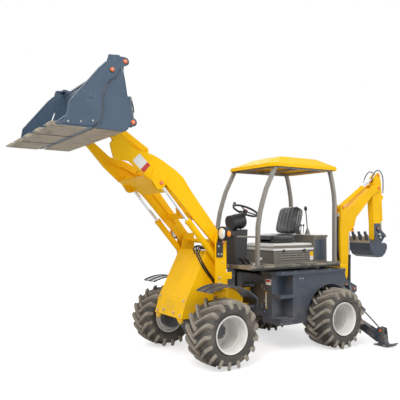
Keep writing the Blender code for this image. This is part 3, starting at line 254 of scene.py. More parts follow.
class Detail:
    """Small fittings of one look on one body, gathered into one piece."""

    def __init__(self, name, look, body, bevel=0.0015):
        self.name, self.look, self.body, self.bevel = name, look, body, bevel
        self.bm = bmesh.new()

    def ring_pair(self, low, high):
        for i in range(len(low)):
            j = (i + 1) % len(low)
            self.bm.faces.new((low[i], low[j], high[j], high[i]))

    def loft(self, rings, closed_ends=True):
        """Joins rings of points, each ring a list of places in the frame."""
        made = [[self.bm.verts.new(p) for p in ring] for ring in rings]
        for low, high in zip(made, made[1:]):
            self.ring_pair(low, high)
        if closed_ends:
            self.bm.faces.new(made[0])
            self.bm.faces.new(made[-1])
        return self

    def box(self, x, y, z):
        rings = [[place(a, b, c) for a, b in ((x[0], y[0]), (x[1], y[0]), (x[1], y[1]), (x[0], y[1]))] for c in z]
        return self.loft(rings)

    def plate(self, outline, y):
        """A plate with (x, z) outline between two y values."""
        return self.loft([[place(a, b, c) for a, c in outline] for b in y])

    def rod(self, start, end, radius, sides=16, end_radius=None):
        start, end = Vector(start), Vector(end)
        turn = (end - start).to_track_quat("Z", "Y")
        rings = []
        for centre, r in ((start, radius), (end, radius if end_radius is None else end_radius)):
            rings.append([centre + turn @ Vector((r * math.cos(a), r * math.sin(a), 0))
                          for a in (2 * math.pi * k / sides for k in range(sides))])
        return self.loft(rings)

    def turned(self, centre, axis, profile, sides=32):
        """A solid of revolution: profile is (radius, distance along the axis), first and last at the axis."""
        turn = Vector(axis).to_track_quat("Z", "Y")
        rings = [[centre + turn @ Vector((r * math.cos(a), r * math.sin(a), h))
                  for a in (2 * math.pi * k / sides for k in range(sides))] for r, h in profile]
        return self.loft(rings)

    def hoop(self, centre, axis, profile, sides=56):
        """A closed ring: profile is a loop of (radius, distance along the axis)."""
        turn = Vector(axis).to_track_quat("Z", "Y")
        made = [[self.bm.verts.new(centre + turn @ Vector((r * math.cos(a), r * math.sin(a), h)))
                 for a in (2 * math.pi * k / sides for k in range(sides))] for r, h in profile]
        for low, high in zip(made, made[1:] + made[:1]):
            self.ring_pair(low, high)
        return self

    def bolt(self, centre, axis, radius=0.011, height=0.008):
        axis = Vector(axis).normalized()
        centre = Vector(centre)
        self.rod(centre - axis * 0.003, centre + axis * height * 0.35, radius * 1.35, 16)
        return self.rod(centre, centre + axis * height, radius, 6)

    def done(self, smooth=40):
        return finish_mesh(self.name, self.bm, self.look, self.body, self.bevel, smooth)


def smooth_line(points, steps=8):
    knots = [Vector(p) for p in points]
    knots = [2 * knots[0] - knots[1]] + knots + [2 * knots[-1] - knots[-2]]
    line = []
    for a, b, c, d in zip(knots, knots[1:], knots[2:], knots[3:]):
        for i in range(steps):
            t = i / steps
            line.append(0.5 * (2 * b + (c - a) * t + (2 * a - 5 * b + 4 * c - d) * t ** 2
                               + (3 * b - a - 3 * c + d) * t ** 3))
    return line + [knots[-2]]


def hose(name, points, radius, body, look=HOSE, fittings=True, sides=12):
    """A hose along a smooth line through the points, with a crimped steel fitting at each end."""
    line = smooth_line([place(*p) for p in points])
    bm = bmesh.new()
    rings = []
    up = Vector((0.13, 0.31, 0.94))
    for i, point in enumerate(line):
        along = (line[min(i + 1, len(line) - 1)] - line[max(i - 1, 0)]).normalized()
        right = along.cross(up).normalized()
        up = right.cross(along).normalized()
        rings.append([bm.verts.new(point + (right * math.cos(a) + up * math.sin(a)) * radius)
                      for a in (2 * math.pi * k / sides for k in range(sides))])
    for low, high in zip(rings, rings[1:]):
        for i in range(sides):
            bm.faces.new((low[i], low[(i + 1) % sides], high[(i + 1) % sides], high[i]))
    bm.faces.new(rings[0])
    bm.faces.new(rings[-1])
    finish_mesh(name, bm, look, body)
    if fittings:
        ends = Detail(f"{name}_fittings", STEEL, body, 0.0008)
        for a, b in ((line[0], line[3]), (line[-1], line[-4])):
            along = (b - a).normalized()
            ends.rod(a - along * 0.004, a + along * 0.035, radius * 1.35, 14)
            ends.rod(a - along * 0.010, a + along * 0.010, radius * 1.7, 6)
        ends.done()


# ---------------------------------------------------------------- tyres and rims
LUGS = 17
RIM_DISH = -0.10      # the wheel disc, inboard of the tyre's middle
CARCASS = 0.042       # depth of the lugs
LUG_SWEEP = 0.42      # how far a lug runs round the tyre, in radians


def tyre(end, side_name, side):
    node = f"{end}_{side_name}_tyre"
    low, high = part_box(node)
    centre, radius, half = (low + high) / 2, (high.z - low.z) / 2, (high.y - low.y) / 2
    base = radius - CARCASS
    body = f"{end}_{side_name}_wheel"

    def spot(r, y, angle):
        return centre + Vector((r * math.cos(angle), side * y, r * math.sin(angle)))

    profile = [(0.206, -0.72), (0.214, -0.83), (0.222, -0.88), (0.242, -0.955), (0.275, -1.0), (0.305, -0.99),
               (base - 0.022, -0.95), (base - 0.006, -0.86), (base + 0.001, -0.6), (base + 0.004, 0.0),
               (base + 0.001, 0.6), (base - 0.006, 0.86), (base - 0.022, 0.95), (0.305, 0.99), (0.298, 1.0),
               (0.292, 0.992), (0.275, 1.0), (0.242, 0.955), (0.232, 0.935), (0.222, 0.88), (0.214, 0.83),
               (0.206, 0.72)]
    bm = bmesh.new()
    rings = [[bm.verts.new(spot(r, y * half, 2 * math.pi * i / 72)) for r, y in profile] for i in range(72)]
    for i in range(72):
        this, following = rings[i], rings[(i + 1) % 72]
        for k in range(len(profile)):
            m = (k + 1) % len(profile)
            bm.faces.new((this[k], this[m], following[m], following[k]))
    carcass = finish_mesh(f"{end}_{side_name}_tyre_body", bm, SIDEWALL, body)
    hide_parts(node)

    # each lug: share of its run, share of the half width, top radius, bottom radius, half thickness
    sections = ((0.0, -0.06, radius - 0.001, base - 0.004, 0.020), (0.30, 0.28, radius, base - 0.004, 0.022),
                (0.65, 0.62, radius - 0.001, base - 0.006, 0.025), (0.92, 0.90, radius - 0.006, base - 0.02, 0.029),
                (1.0, 1.005, radius - 0.026, base - 0.045, 0.029), (1.03, 1.012, radius - 0.055, base - 0.060, 0.023))
    bm = bmesh.new()
    for half_side in (1, -1):
        for n in range(LUGS):
            start = 2 * math.pi * (n + (0.5 if half_side < 0 else 0)) / LUGS
            previous = None
            for run, across, top, bottom, thick in sections:
                angle = start + LUG_SWEEP * run
                y = half_side * across * half
                wide, narrow = thick / radius, thick * 0.72 / radius
                ring = [bm.verts.new(spot(bottom, y, angle - wide)), bm.verts.new(spot(top, y, angle - narrow)),
                        bm.verts.new(spot(top, y, angle + narrow)), bm.verts.new(spot(bottom, y, angle + wide))]
                if previous:
                    for k in range(4):
                        bm.faces.new((previous[k], previous[(k + 1) % 4], ring[(k + 1) % 4], ring[k]))
                else:
                    bm.faces.new(ring)
                previous = ring
            bm.faces.new(previous)
    finish_mesh(f"{end}_{side_name}_tyre_lugs", bm, TREAD, body, 0.004, 35)

    axle = Vector((0, side, 0))
    disc = centre + axle * RIM_DISH
    face = disc + axle * 0.050
    flange = Detail(f"{end}_{side_name}_rim_flange", RIM, body, 0.001)
    flange.hoop(centre, axle, ((0.186, 0.150), (0.2085, 0.176), (0.2125, 0.188), (0.2085, 0.197), (0.199, 0.193), (0.184, 0.160)))
    flange.hoop(centre, axle, ((0.176, 0.050), (0.190, 0.050), (0.190, 0.080), (0.176, 0.070)))
    flange.turned(disc - axle * 0.027, axle, ((0.001, 0), (0.155, 0), (0.155, 0.010), (0.145, 0.014), (0.001, 0.014)))
    flange.done()
    hub = Detail(f"{end}_{side_name}_hub", SLATE, body, 0.002)
    hub.turned(face - axle * 0.004, axle, ((0.001, 0), (0.086, 0), (0.084, 0.008), (0.060, 0.010), (0.056, 0.020),
                                           (0.036, 0.024), (0.001, 0.025)))
    hub.done()
    bolts = Detail(f"{end}_{side_name}_wheel_bolts", STEEL, body, 0.001)
    for n in range(8):
        angle = 2 * math.pi * n / 8
        around = Vector((math.cos(angle), 0, math.sin(angle)))
        bolts.bolt(disc + around * 0.120 - axle * 0.013, axle, 0.011, 0.016)
        bolts.bolt(face + around * 0.072 + axle * 0.003, axle, 0.006, 0.006)
    bolts.rod(disc + Vector((0.150, side * -0.015, 0)), disc + Vector((0.146, side * 0.045, 0)), 0.005, 10)
    bolts.done()


for end in ("front", "rear"):
    for side_name, side in SIDES:
        tyre(end, side_name, side)


# ---------------------------------------------------------------- pins with grease caps
def pin_cap(bolts, caps, centre, side, radius):
    """A pin's head with its keeper bolt, on the outer face at centre."""
    axis = Vector((0, side, 0))
    caps.turned(centre, axis, ((0.001, -0.002), (radius, -0.002), (radius, 0.006), (radius * 0.8, 0.010), (0.001, 0.010)),
                24)
    bolts.bolt(centre + axis * 0.010, axis, radius * 0.28, 0.006)


# ---------------------------------------------------------------- loader bucket
def bucket_details():
    body, jaw = "loader_bucket", "bucket_jaw"
    edge = Detail("bucket_cutting_edge", WORN, jaw, 0.002)
    edge.plate([(1.66, 2.4845), (1.975, 2.4845), (1.985, 2.490), (1.975, 2.4945), (1.66, 2.4925)], (-0.828, 0.828))
    for n in range(5):
        y = (n - 2) * 0.375
        edge.plate([(1.86, 2.478), (2.030, 2.484), (2.034, 2.490), (1.985, 2.526), (1.90, 2.530), (1.86, 2.510)],
                   (y - 0.040, y + 0.040))
    edge.done()
    under = Detail("bucket_wear_plates", WORN, body, 0.002)
    under.box((1.275, 1.585), (-0.80, 0.80), (2.4855, 2.4975))
    under.done()
    seams = Detail("bucket_floor_joints", BLACK, jaw, 0)
    for y in (-0.275, 0.275):
        seams.box((1.62, 1.97), (y - 0.010, y + 0.010), (2.4815, 2.486))
    seams.done()
    bolts = Detail("bucket_edge_bolts", STEEL, jaw, 0.001)
    for n in range(5):
        for offset in (-0.024, 0.024):
            bolts.bolt(place(1.90, (n - 2) * 0.375 + offset, 2.531), (0, 0, 1), 0.009, 0.007)
    for _, side in SIDES:
        for x, z in ((1.60, 2.56), (1.72, 2.54), (1.84, 2.53)):
            bolts.bolt(place(x, side * 0.831, z), (0, side, 0), 0.010, 0.007)
    bolts.done()
    trim = Detail("jaw_edge_strips", BUCKET, jaw, 0.002)
    for _, side in SIDES:
        line = [(1.955, 2.50), (1.848, 2.588), (1.829, 2.712), (1.548, 3.064), (1.470, 3.144)]
        for (x0, z0), (x1, z1) in zip(line, line[1:]):
            trim.rod(place(x0, side * 0.824, z0), place(x1, side * 0.824, z1), 0.010, 12)
        trim.turned(place(1.62, side * 0.829, 2.79), (0, side, 0), ((0.001, 0), (0.018, 0), (0.016, 0.006), (0.001, 0.006)),
                    24)
        trim.plate([(1.53, 2.57), (1.60, 2.51), (1.90, 2.505), (1.86, 2.585), (1.60, 2.60)],
                   sorted((side * 0.829, side * 0.836)))
    trim.done()
    # Black lines along the split between the jaw and the bucket body: painted shade in the gap between the two parts.
    shade = Detail("jaw_split_shade_lines", BLACK, jaw, 0)
    for _, side in SIDES:
        line = [(1.605, 2.50), (1.532, 2.56), (1.503, 2.68), (1.503, 2.83), (1.474, 2.93), (1.428, 2.985)]
        for (x0, z0), (x1, z1) in zip(line, line[1:]):
            shade.rod(place(x0, side * 0.8295, z0), place(x1, side * 0.8295, z1), 0.0035, 8)
    shade.done()
    ribs = Detail("bucket_back_ribs", BUCKET, body, 0.002)
    ribs.box((1.322, 1.354), (-0.79, 0.79), (3.160, 3.180))
    for y in (-0.62, -0.40, 0.40, 0.62):
        ribs.plate([(1.262, 2.55), (1.334, 3.15), (1.310, 3.10), (1.248, 2.60)], (y - 0.006, y + 0.006))
    ribs.box((1.262, 1.30), (-0.80, 0.80), (2.498, 2.520))
    ribs.done()
    caps = Detail("bucket_pin_caps", ORANGE_CAP, body, 0.0015)
    keepers = Detail("bucket_pin_bolts", STEEL, body, 0.001)
    for _, side in SIDES:
        pin_cap(keepers, caps, place(1.412, side * 0.838, 3.077), side, 0.022)
        pin_cap(keepers, caps, place(1.170, side * 0.8015, 2.596), side, 0.024)
        pin_cap(keepers, caps, place(1.21, side * 0.4075, 2.56), side, 0.026)
    caps.done()
    keepers.done()
    caps = Detail("jaw_lever_caps", ORANGE_CAP, jaw, 0.0015)
    keepers = Detail("jaw_lever_bolts", STEEL, jaw, 0.001)
    ears = Detail("jaw_lifting_ears", BUCKET, jaw, 0.0015)
    for _, side in SIDES:
        pin_cap(keepers, caps, place(1.272, side * 0.8305, 3.182), side, 0.022)
        for x in (1.395, 1.425):
            ears.plate([(x - 0.010, 3.222), (x - 0.007, 3.229), (x + 0.007, 3.229), (x + 0.010, 3.222)],
                       sorted((side * 0.790, side * 0.800)))
    for detail in (caps, keepers, ears):
        detail.done()
    for side_name, side in SIDES:
        y = side * 0.765
        hose(f"{side_name}_jaw_hose_long", [(1.150, y - side * 0.02, 2.67), (1.140, y - side * 0.02, 2.73),
                                           (1.155, y - side * 0.02, 2.80), (1.175, y - side * 0.01, 2.85)], 0.007, body)
        hose(f"{side_name}_jaw_hose_short", [(1.155, y - side * 0.045, 2.62), (1.150, y - side * 0.12, 2.63),
                                            (1.19, y - side * 0.22, 2.67), (1.272, y - side * 0.28, 2.70)], 0.007, body)


bucket_details()


# ---------------------------------------------------------------- loader arm
def arm_details():
    body = "loader_arm"
    caps = Detail("arm_pin_caps", ORANGE_CAP, body, 0.0015)
    bolts = Detail("arm_pin_bolts", STEEL, body, 0.001)
    plates = Detail("arm_boss_plates", YELLOW, body, 0.002)
    pads = Detail("arm_blank_plates", WHITE, body, 0.0005)
    marks = Detail("arm_blank_corners", RED, body, 0.0005)
    for _, side in SIDES:
        outer = 0.385
        plates.turned(place(0.63, side * (outer + 0.012), 2.045), (0, side, 0),
                      ((0.001, -0.004), (0.050, -0.004), (0.050, 0.004), (0.001, 0.004)), 28)
        plates.turned(place(-0.17, side * (outer + 0.0), 1.38), (0, side, 0),
                      ((0.001, -0.002), (0.060, -0.002), (0.058, 0.010), (0.001, 0.010)), 28)
        pin_cap(bolts, caps, place(0.63, side * (outer + 0.016), 2.045), side, 0.024)
        for x, z in ((1.145, 2.325), (1.10, 2.30)) if side > 0 else ():
            plates.turned(place(x, side * outer, z), (0, side, 0), ((0.001, -0.003), (0.016, -0.003), (0.016, 0.004),
                                                                  (0.001, 0.004)), 20)
        pads.plate([(0.761, 2.234), (0.893, 2.354), (0.976, 2.272), (0.841, 2.147)],
                   sorted((side * outer, side * (outer + 0.0012))))
        marks.plate([(0.761, 2.234), (0.798, 2.268), (0.879, 2.182), (0.841, 2.147)],
                    sorted((side * outer, side * (outer + 0.0018))))
        plates.plate([(-0.05, 1.63), (0.10, 1.79), (0.14, 1.755), (-0.01, 1.60)],
                     sorted((side * (outer - 0.002), side * (outer + 0.003))))
    for detail in (caps, bolts, plates, pads, marks):
        detail.done()
    for side_name, side in SIDES:
        y = side * 0.332
        hose(f"{side_name}_arm_tube", [(0.02, y, 1.60), (0.20, y, 1.80), (0.38, y, 2.00), (0.52, y, 2.14),
                                      (0.75, y, 2.27), (0.98, y, 2.33)], 0.008, body, YELLOW, False)
    hose("arm_tip_hose_high", [(0.98, 0.332, 2.33), (1.10, 0.325, 2.345), (1.16, 0.315, 2.42), (1.13, 0.31, 2.50)],
         0.008, body)
    strut = Detail("arm_safety_strut", RED, body, 0.002)
    strut.plate([(0.205, 2.00), (0.150, 1.64), (0.185, 1.63), (0.239, 1.99)], (0.285, 0.290))
    strut.plate([(0.205, 2.00), (0.150, 1.64), (0.154, 1.635), (0.209, 1.995)], (0.285, 0.325))
    strut.plate([(0.235, 1.995), (0.181, 1.635), (0.185, 1.63), (0.239, 1.99)], (0.285, 0.325))
    strut.rod(place(0.214, 0.287, 1.94), place(0.214, 0.346, 1.94), 0.009)
    strut.rod(place(0.168, 0.285, 1.70), place(0.168, 0.346, 1.70), 0.009)
    strut.done()


arm_details()


# ---------------------------------------------------------------- tower, fenders, lamps
def tower_details():
    body = "front_frame"
    face = Vector((0.89, 0, 0.45)).normalized()
    bolts = Detail("tower_bolts", STEEL, body, 0.001)
    plate = Detail("tower_lower_plate", YELLOW, body, 0.003)
    top, bottom = (0.249, 0.735), (0.318, 0.50)
    plate.plate([top, (top[0] - 0.006, top[1] - 0.002), (bottom[0] - 0.006, bottom[1]), (bottom[0] + 0.003, bottom[1])],
                (-0.322, 0.322))
    for _, side in SIDES:
        bolts.bolt(place(0.266, side * 0.28, 0.70), face, 0.012, 0.008)
        for y, z in ((0.27, 0.535), (0.12, 0.555)):
            bolts.bolt(place(0.322 - 0.243 * (z - 0.50), side * y, z), face, 0.012, 0.008)
        bolts.rod(place(0.288, side * 0.268, 0.466), place(0.3125, side * 0.268, 0.466), 0.010)
        for z in (0.90, 0.96):
            bolts.bolt(place(-0.12, side * 0.4505, z), (0, side, 0), 0.011, 0.008)
        for x, z in ((-0.10, 1.235), (-0.14, 1.235), (-0.10, 1.33)):
            bolts.bolt(place(x, side * 0.4605, z), (0, side, 0), 0.009, 0.007)
    plate.done()
    caps = Detail("tower_pin_caps", ORANGE_CAP, body, 0.0015)
    for _, side in SIDES:
        pin_cap(bolts, caps, place(-0.17, side * 0.451, 1.38), side, 0.027)
        pin_cap(bolts, caps, place(-0.17, side * 0.436, 1.13), side, 0.024)
    caps.done()
    bolts.done()
    ribs = Detail("tower_side_ribs", YELLOW, body, 0.002)
    for _, side in SIDES:
        ribs.plate([(-0.214, 0.82), (-0.214, 1.47), (-0.222, 1.47), (-0.222, 0.82)],
                   sorted((side * 0.320, side * 0.4495)))
        ribs.box((-0.30, -0.222), sorted((side * 0.430, side * 0.4495)), (0.94, 1.02))
    ribs.done()
    for n, back in enumerate((0.0, 0.03)):
        hose(f"tower_hose_{n}", [(-0.02, 0.25, 1.31), (0.05 - back, 0.29, 1.32), (0.115 - back, 0.320, 1.25),
                                 (0.072 - back, 0.331, 1.145), (-0.013 - back, 0.330, 1.025),
                                 (-0.127 - back, 0.330, 0.889), (-0.20 - back, 0.330, 0.79)], 0.009, body)


tower_details()


def lamp_details():
    for side_name, side in SIDES:
        body = "front_frame"
        centre = place(-0.095, side * 0.54, 1.479)
        ring = Detail(f"{side_name}_headlamp_ring", PLASTIC, body, 0.0008)
        ring.turned(centre, (1, 0, 0), ((0.060, -0.01), (0.0835, -0.01), (0.0835, 0.006), (0.078, 0.010), (0.068, 0.008),
                                        (0.060, 0.002)))
        ring.done()
        lens = Detail(f"{side_name}_headlamp_lens", GLASS, body, 0)
        lens.turned(centre, (1, 0, 0), ((0.001, -0.004), (0.070, -0.004), (0.070, 0.004), (0.055, 0.013), (0.03, 0.019),
                                        (0.001, 0.021)))
        lens.done(70)
        lit = place(-0.110, side * 0.662, 1.476)
        amber = Detail(f"{side_name}_indicator", AMBER, body, 0.002)
        amber.turned(lit, (1, 0, 0), ((0.001, -0.01), (0.035, -0.01), (0.035, 0.010), (0.024, 0.019), (0.001, 0.022)), 28)
        amber.done(70)
        stalk = Detail(f"{side_name}_lamp_stalk", PLASTIC, body, 0.001)
        stalk.box((-0.15, -0.12), sorted((side * 0.52, side * 0.66)), (1.442, 1.452))
        stalk.turned(lit, (1, 0, 0), ((0.001, -0.045), (0.032, -0.042), (0.041, -0.02), (0.041, 0.004), (0.036, 0.004),
                                      (0.001, 0.0)), 28)
        stalk.done()


lamp_details()


def fender_details():
    for side_name, side in SIDES:
        lip = Detail(f"{side_name}_fender_flap", BLACK, "front_frame", 0.002)
        lip.box((-0.425, -0.405), sorted((side * 0.52, side * 0.78)), (0.66, 0.735))
        lip.done()
        bolts = Detail(f"{side_name}_fender_bolts", STEEL, "front_frame", 0.001)
        for x in (-0.12, -0.06):
            bolts.bolt(place(x, side * 0.53, 0.896), (0, 0, 1), 0.008, 0.006)
        bolts.done()


fender_details()


# ---------------------------------------------------------------- rear body
def body_details():
    body = "rear_frame"
    seams = Detail("body_seams", BLACK, body, 0)
    trim = Detail("body_trim", SLATE, body, 0.002)
    bolts = Detail("body_bolts", STEEL, body, 0.001)
    treads = Detail("step_treads", GREY, body, 0.0015)
    pale = Detail("front_centre_panel", SLATE, body, 0.002)
    for _, side in SIDES:
        y = side * 0.6205
        for x in (-1.20, -1.33):
            seams.box((x, x + 0.004), sorted((y - side * 0.002, y)), (0.80, 0.93))
        seams.box((-1.33, -1.20), sorted((y - side * 0.002, y)), (0.80, 0.804))
        for z in (0.412, 0.689):
            for n in range(7):
                x = -0.935 - 0.03 * n
                treads.box((x - 0.005, x + 0.005), sorted((side * 0.49, side * 0.612)), (z, z + 0.016))
        trim.box((-1.20, -0.905), sorted((side * 0.600, side * 0.632)), (0.400, 0.425))
        trim.plate([(-0.905, 0.672), (-1.17, 0.672), (-1.17, 0.706), (-0.905, 0.706)],
                   sorted((side * 0.615, side * 0.632)))
        for x in (-1.24, -1.29):
            bolts.bolt(place(x, y, 0.90), (0, side, 0), 0.007, 0.005)
        for x in (-0.95, -1.15, -1.45, -1.75, -1.98):
            bolts.bolt(place(x, side * 0.635, 0.9955), (0, 0, 1), 0.007, 0.005)
        for z in (0.48, 0.62, 0.76, 0.88):
            bolts.bolt(place(-0.8995, side * 0.33, z), (1, 0, 0), 0.007, 0.005)
    pale.box((-0.934, -0.922), (-0.20, 0.20), (0.815, 0.935))
    for _, side in SIDES:
        pale.box((-0.934, -0.918), sorted((side * 0.13, side * 0.27)), (0.415, 0.93))
    for detail in (seams, trim, bolts, treads, pale):
        detail.done()
    gauge = Detail("level_gauge", BRASS, body, 0.001)
    gauge.box((-0.899, -0.893), (0.362, 0.382), (0.52, 0.74))
    for z in (0.535, 0.725):
        gauge.bolt(place(-0.893, 0.372, z), (1, 0, 0), 0.008, 0.008)
    gauge.done()
    tube = Detail("level_gauge_glass", GLASS, body, 0)
    tube.rod(place(-0.889, 0.372, 0.55), place(-0.889, 0.372, 0.71), 0.005, 12)
    tube.done()
    white = Detail("body_blank_plate", WHITE, body, 0.0005)
    white.box((-0.8995, -0.898), (0.36, 0.46), (0.825, 0.895))
    white.done()
    red = Detail("body_blank_plate_band", RED, body, 0.0005)
    red.box((-0.8985, -0.897), (0.37, 0.45), (0.860, 0.888))
    red.done()
    hinges = Detail("front_hinges", STEEL, body, 0.0015)
    for z in (0.55, 0.80):
        hinges.rod(place(-0.912, 0.275, z - 0.03), place(-0.912, 0.275, z + 0.03), 0.009, 12)
    hinges.done()
    yellow_end = Detail("rear_corner_plates", YELLOW, body, 0.003)
    for _, side in SIDES:
        yellow_end.plate([(-2.06, 1.028), (-2.06, 0.997), (-2.30, 0.935), (-2.42, 0.935), (-2.42, 1.00), (-2.16, 1.028)],
                         sorted((side * 0.225, side * 0.262)))
        yellow_end.box((-2.26, -2.11), sorted((side * 0.10, side * 0.50)), (1.000, 1.030))
    yellow_end.done()


body_details()


def deck_details():
    body = "rear_frame"
    black = Detail("deck_edge", BLACK, body, 0.002)
    for _, side in SIDES:
        black.box((-2.10, -0.556), sorted((side * 0.490, side * 0.506)), (1.020, 1.046))
    black.done()
    mats = Detail("deck_tread_strips", DECK, body, 0.001)
    for n in range(11):
        x = -0.59 - 0.042 * n
        mats.box((x - 0.009, x + 0.009), (-0.46, -0.14), (1.069, 1.076))
        mats.box((x - 0.009, x + 0.009), (0.14, 0.46), (1.069, 1.076))
    mats.done()
    pedals = Detail("pedals", BLACK, body, 0.002)
    for y in (-0.24, 0.22, 0.33):
        pedals.plate([(-0.66, 1.09), (-0.60, 1.165), (-0.594, 1.16), (-0.654, 1.085)], (y - 0.035, y + 0.035))
        pedals.rod(place(-0.63, y, 1.12), place(-0.60, y, 1.072), 0.007, 10)
    pedals.done()
    lever = Detail("park_brake_lever", WHITE, body, 0.002)
    lever.rod(place(-0.72, 0.34, 1.078), place(-0.78, 0.34, 1.130), 0.009, 12)
    lever.rod(place(-0.775, 0.34, 1.126), place(-0.845, 0.34, 1.155), 0.015, 14)
    lever.done()


deck_details()


def hood_details():
    body = "rear_frame"
    slots = Detail("hood_louvre_slots", BLACK, body, 0)
    blades = Detail("hood_louvres", STONE, body, 0.0008)
    for _, side in SIDES:
        y = side * 0.3005
        for column in range(5):
            x0 = -1.16 - 0.118 * column
            for row in range(4):
                z = 1.105 + 0.031 * row
                slots.box((x0 - 0.088, x0), sorted((y, y - side * 0.001)), (z, z + 0.013))
                blades.plate([(x0, z + 0.011), (x0 - 0.088, z + 0.011), (x0 - 0.088, z + 0.022), (x0, z + 0.022)],
                             sorted((y - side * 0.001, y + side * 0.005)))
    slots.done()
    blades.done()
    top = Detail("hood_top_cover", PALE, body, 0.004)
    corner = ((-1.796, -1.072), (-0.312, 0.312))
    rings = []
    for z, inset in ((1.240, 0.0), (1.262, 0.0), (1.332, 0.046)):
        x, y = corner
        rings.append([place(a, b, z) for a, b in ((x[0], y[0] + inset), (x[1] - inset, y[0] + inset),
                                                  (x[1] - inset, y[1] - inset), (x[0], y[1] - inset))])
    top.loft(rings)
    top.done()
    latch = Detail("hood_latches", BLACK, body, 0.001)
    for _, side in SIDES:
        for x in (-1.25, -1.62):
            latch.box((x - 0.018, x + 0.018), sorted((side * 0.309, side * 0.317)), (1.215, 1.255))
    latch.done()
    yellow = Detail("hood_blank_plate", YELLOW, body, 0.0005)
    yellow.box((-1.795, -1.735), (0.300, 0.3012), (1.155, 1.215))
    yellow.done()
    white = Detail("hood_blank_plate_white", WHITE, body, 0.0005)
    white.box((-1.795, -1.735), (0.300, 0.3012), (1.10, 1.155))
    white.done()
    lid = Detail("console_lid", PALE, body, 0.003)
    lid.box((-2.072, -1.806), (-0.312, 0.312), (1.434, 1.441))
    lid.done()
    cabinet = Detail("console_side_panels", SLATE, body, 0.002)
    for _, side in SIDES:
        cabinet.box((-2.04, -1.83), sorted((side * 0.2995, side * 0.304)), (1.10, 1.38))
    cabinet.done()


hood_details()


# ---------------------------------------------------------------- seat
def pad(name, node, low, high, ribs_along, crown):
    """A crowned cushion in the box low..high, with sewn channels across it."""
    centre, half = (low + high) / 2, (high - low) / 2
    bm = bmesh.new()
    bmesh.ops.create_cube(bm, size=2.0)
    bmesh.ops.subdivide_edges(bm, edges=bm.edges[:], cuts=23, use_grid_fill=True)
    thin = min(range(3), key=lambda i: half[i])
    for vert in bm.verts:
        p = vert.co
        norm = (abs(p.x) ** 5 + abs(p.y) ** 5 + abs(p.z) ** 5) ** 0.2
        q = p / norm
        others = [i for i in range(3) if i != thin]
        middle = (1 - q[others[0]] ** 2) * (1 - q[others[1]] ** 2)
        groove = 0.5 + 0.5 * math.cos(2 * math.pi * ribs_along * (q[others[0]] + 1) / 2)
        q = Vector(q)
        if q[thin] > 0:
            q[thin] *= 1 - crown + crown * middle - 0.13 * groove ** 6 * (1 - q[others[1]] ** 4)
        vert.co = centre + Vector((q.x * half.x, q.y * half.y, q.z * half.z))
    made = finish_mesh(name, bm, VINYL, "rear_frame", 0, 80)
    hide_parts(node)
    return made


def seat():
    low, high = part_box("seat_cushion")
    foot_top = low.z + 0.04
    pad("seat_cushion_pad", "seat_cushion", Vector((low.x, low.y, foot_top)), high, 6, 0.25)
    mount = Detail("seat_slides", BLACK, "rear_frame", 0.003)
    mount.box((low.x - AXLE_X + 0.04, high.x - AXLE_X - 0.06), (-0.15, 0.15), (low.z, low.z + 0.02))
    for y in (-0.13, 0.13):
        mount.box((low.x - AXLE_X + 0.02, high.x - AXLE_X - 0.03), (y - 0.015, y + 0.015), (low.z + 0.015, low.z + 0.05))
    mount.done()
    low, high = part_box("seat_back")
    made = pad("seat_back_pad", "seat_back", Vector((high.x - 0.135, low.y, low.z)), Vector((high.x - 0.02, high.y, high.z)),
               6, 0.2)
    tilt = Matrix.Rotation(math.radians(-16), 4, "Y")
    foot = Vector((high.x - 0.07, 0, low.z))
    made.data.transform(Matrix.Translation(foot) @ tilt @ Matrix.Translation(-foot))


seat()


# ---------------------------------------------------------------- steering
def console_details():
    body = "rear_frame"
    dash = Detail("dash_panel", PLASTIC, body, 0.003)
    dash.turned(place(-0.797, 0, 1.6394), (-0.98, 0, 0.20), ((0.001, 0), (0.097, 0), (0.092, 0.008), (0.001, 0.008)), 32)
    dash.done()
    dials = Detail("dash_dials", WHITE, body, 0.0005)
    for y, z in ((-0.035, 0.02), (0.035, 0.02), (0.0, -0.035)):
        centre = place(-0.806, y, 1.645 + z)
        dials.turned(centre, (-0.98, 0, 0.20), ((0.001, 0), (0.020, 0), (0.020, 0.003), (0.001, 0.003)), 20)
    dials.done()
    knob = Detail("steering_hub_cap", RED, body, 0.001)
    axis = Vector((-0.42, 0, 0.91)).normalized()
    knob.turned(place(-0.86, 0, 1.765) + axis * 0.006, axis, ((0.001, 0), (0.032, 0), (0.028, 0.008), (0.001, 0.011)), 24)
    knob.done()
    boots = Detail("console_bellows", HOSE, body, 0.001)
    for n in range(5):
        z = 1.53 + 0.018 * n
        boots.turned(place(-0.775, 0, z), (0, 0, 1), ((0.001, 0), (0.045, 0), (0.052, 0.006), (0.045, 0.012), (0.001, 0.012)),
                     20)
    boots.done()
    knobs = Detail("lever_knobs", PLASTIC, body, 0.002)
    for y in (0.09, -0.09):
        knobs.turned(place(-1.872, y, 1.775), (0.08, 0, 1), ((0.001, 0), (0.014, 0.002), (0.021, 0.02), (0.022, 0.045),
                                                            (0.014, 0.062), (0.001, 0.068)), 20)
    for n in range(4):
        y = -0.25 + 0.05 * n
        knobs.rod(place(-2.0, y, 1.438), place(-2.01, y, 1.56), 0.005, 10)
        knobs.turned(place(-2.01, y, 1.555), (0, 0, 1), ((0.001, 0), (0.010, 0.003), (0.014, 0.016), (0.010, 0.030),
                                                        (0.001, 0.034)), 16)
    knobs.done()


console_details()


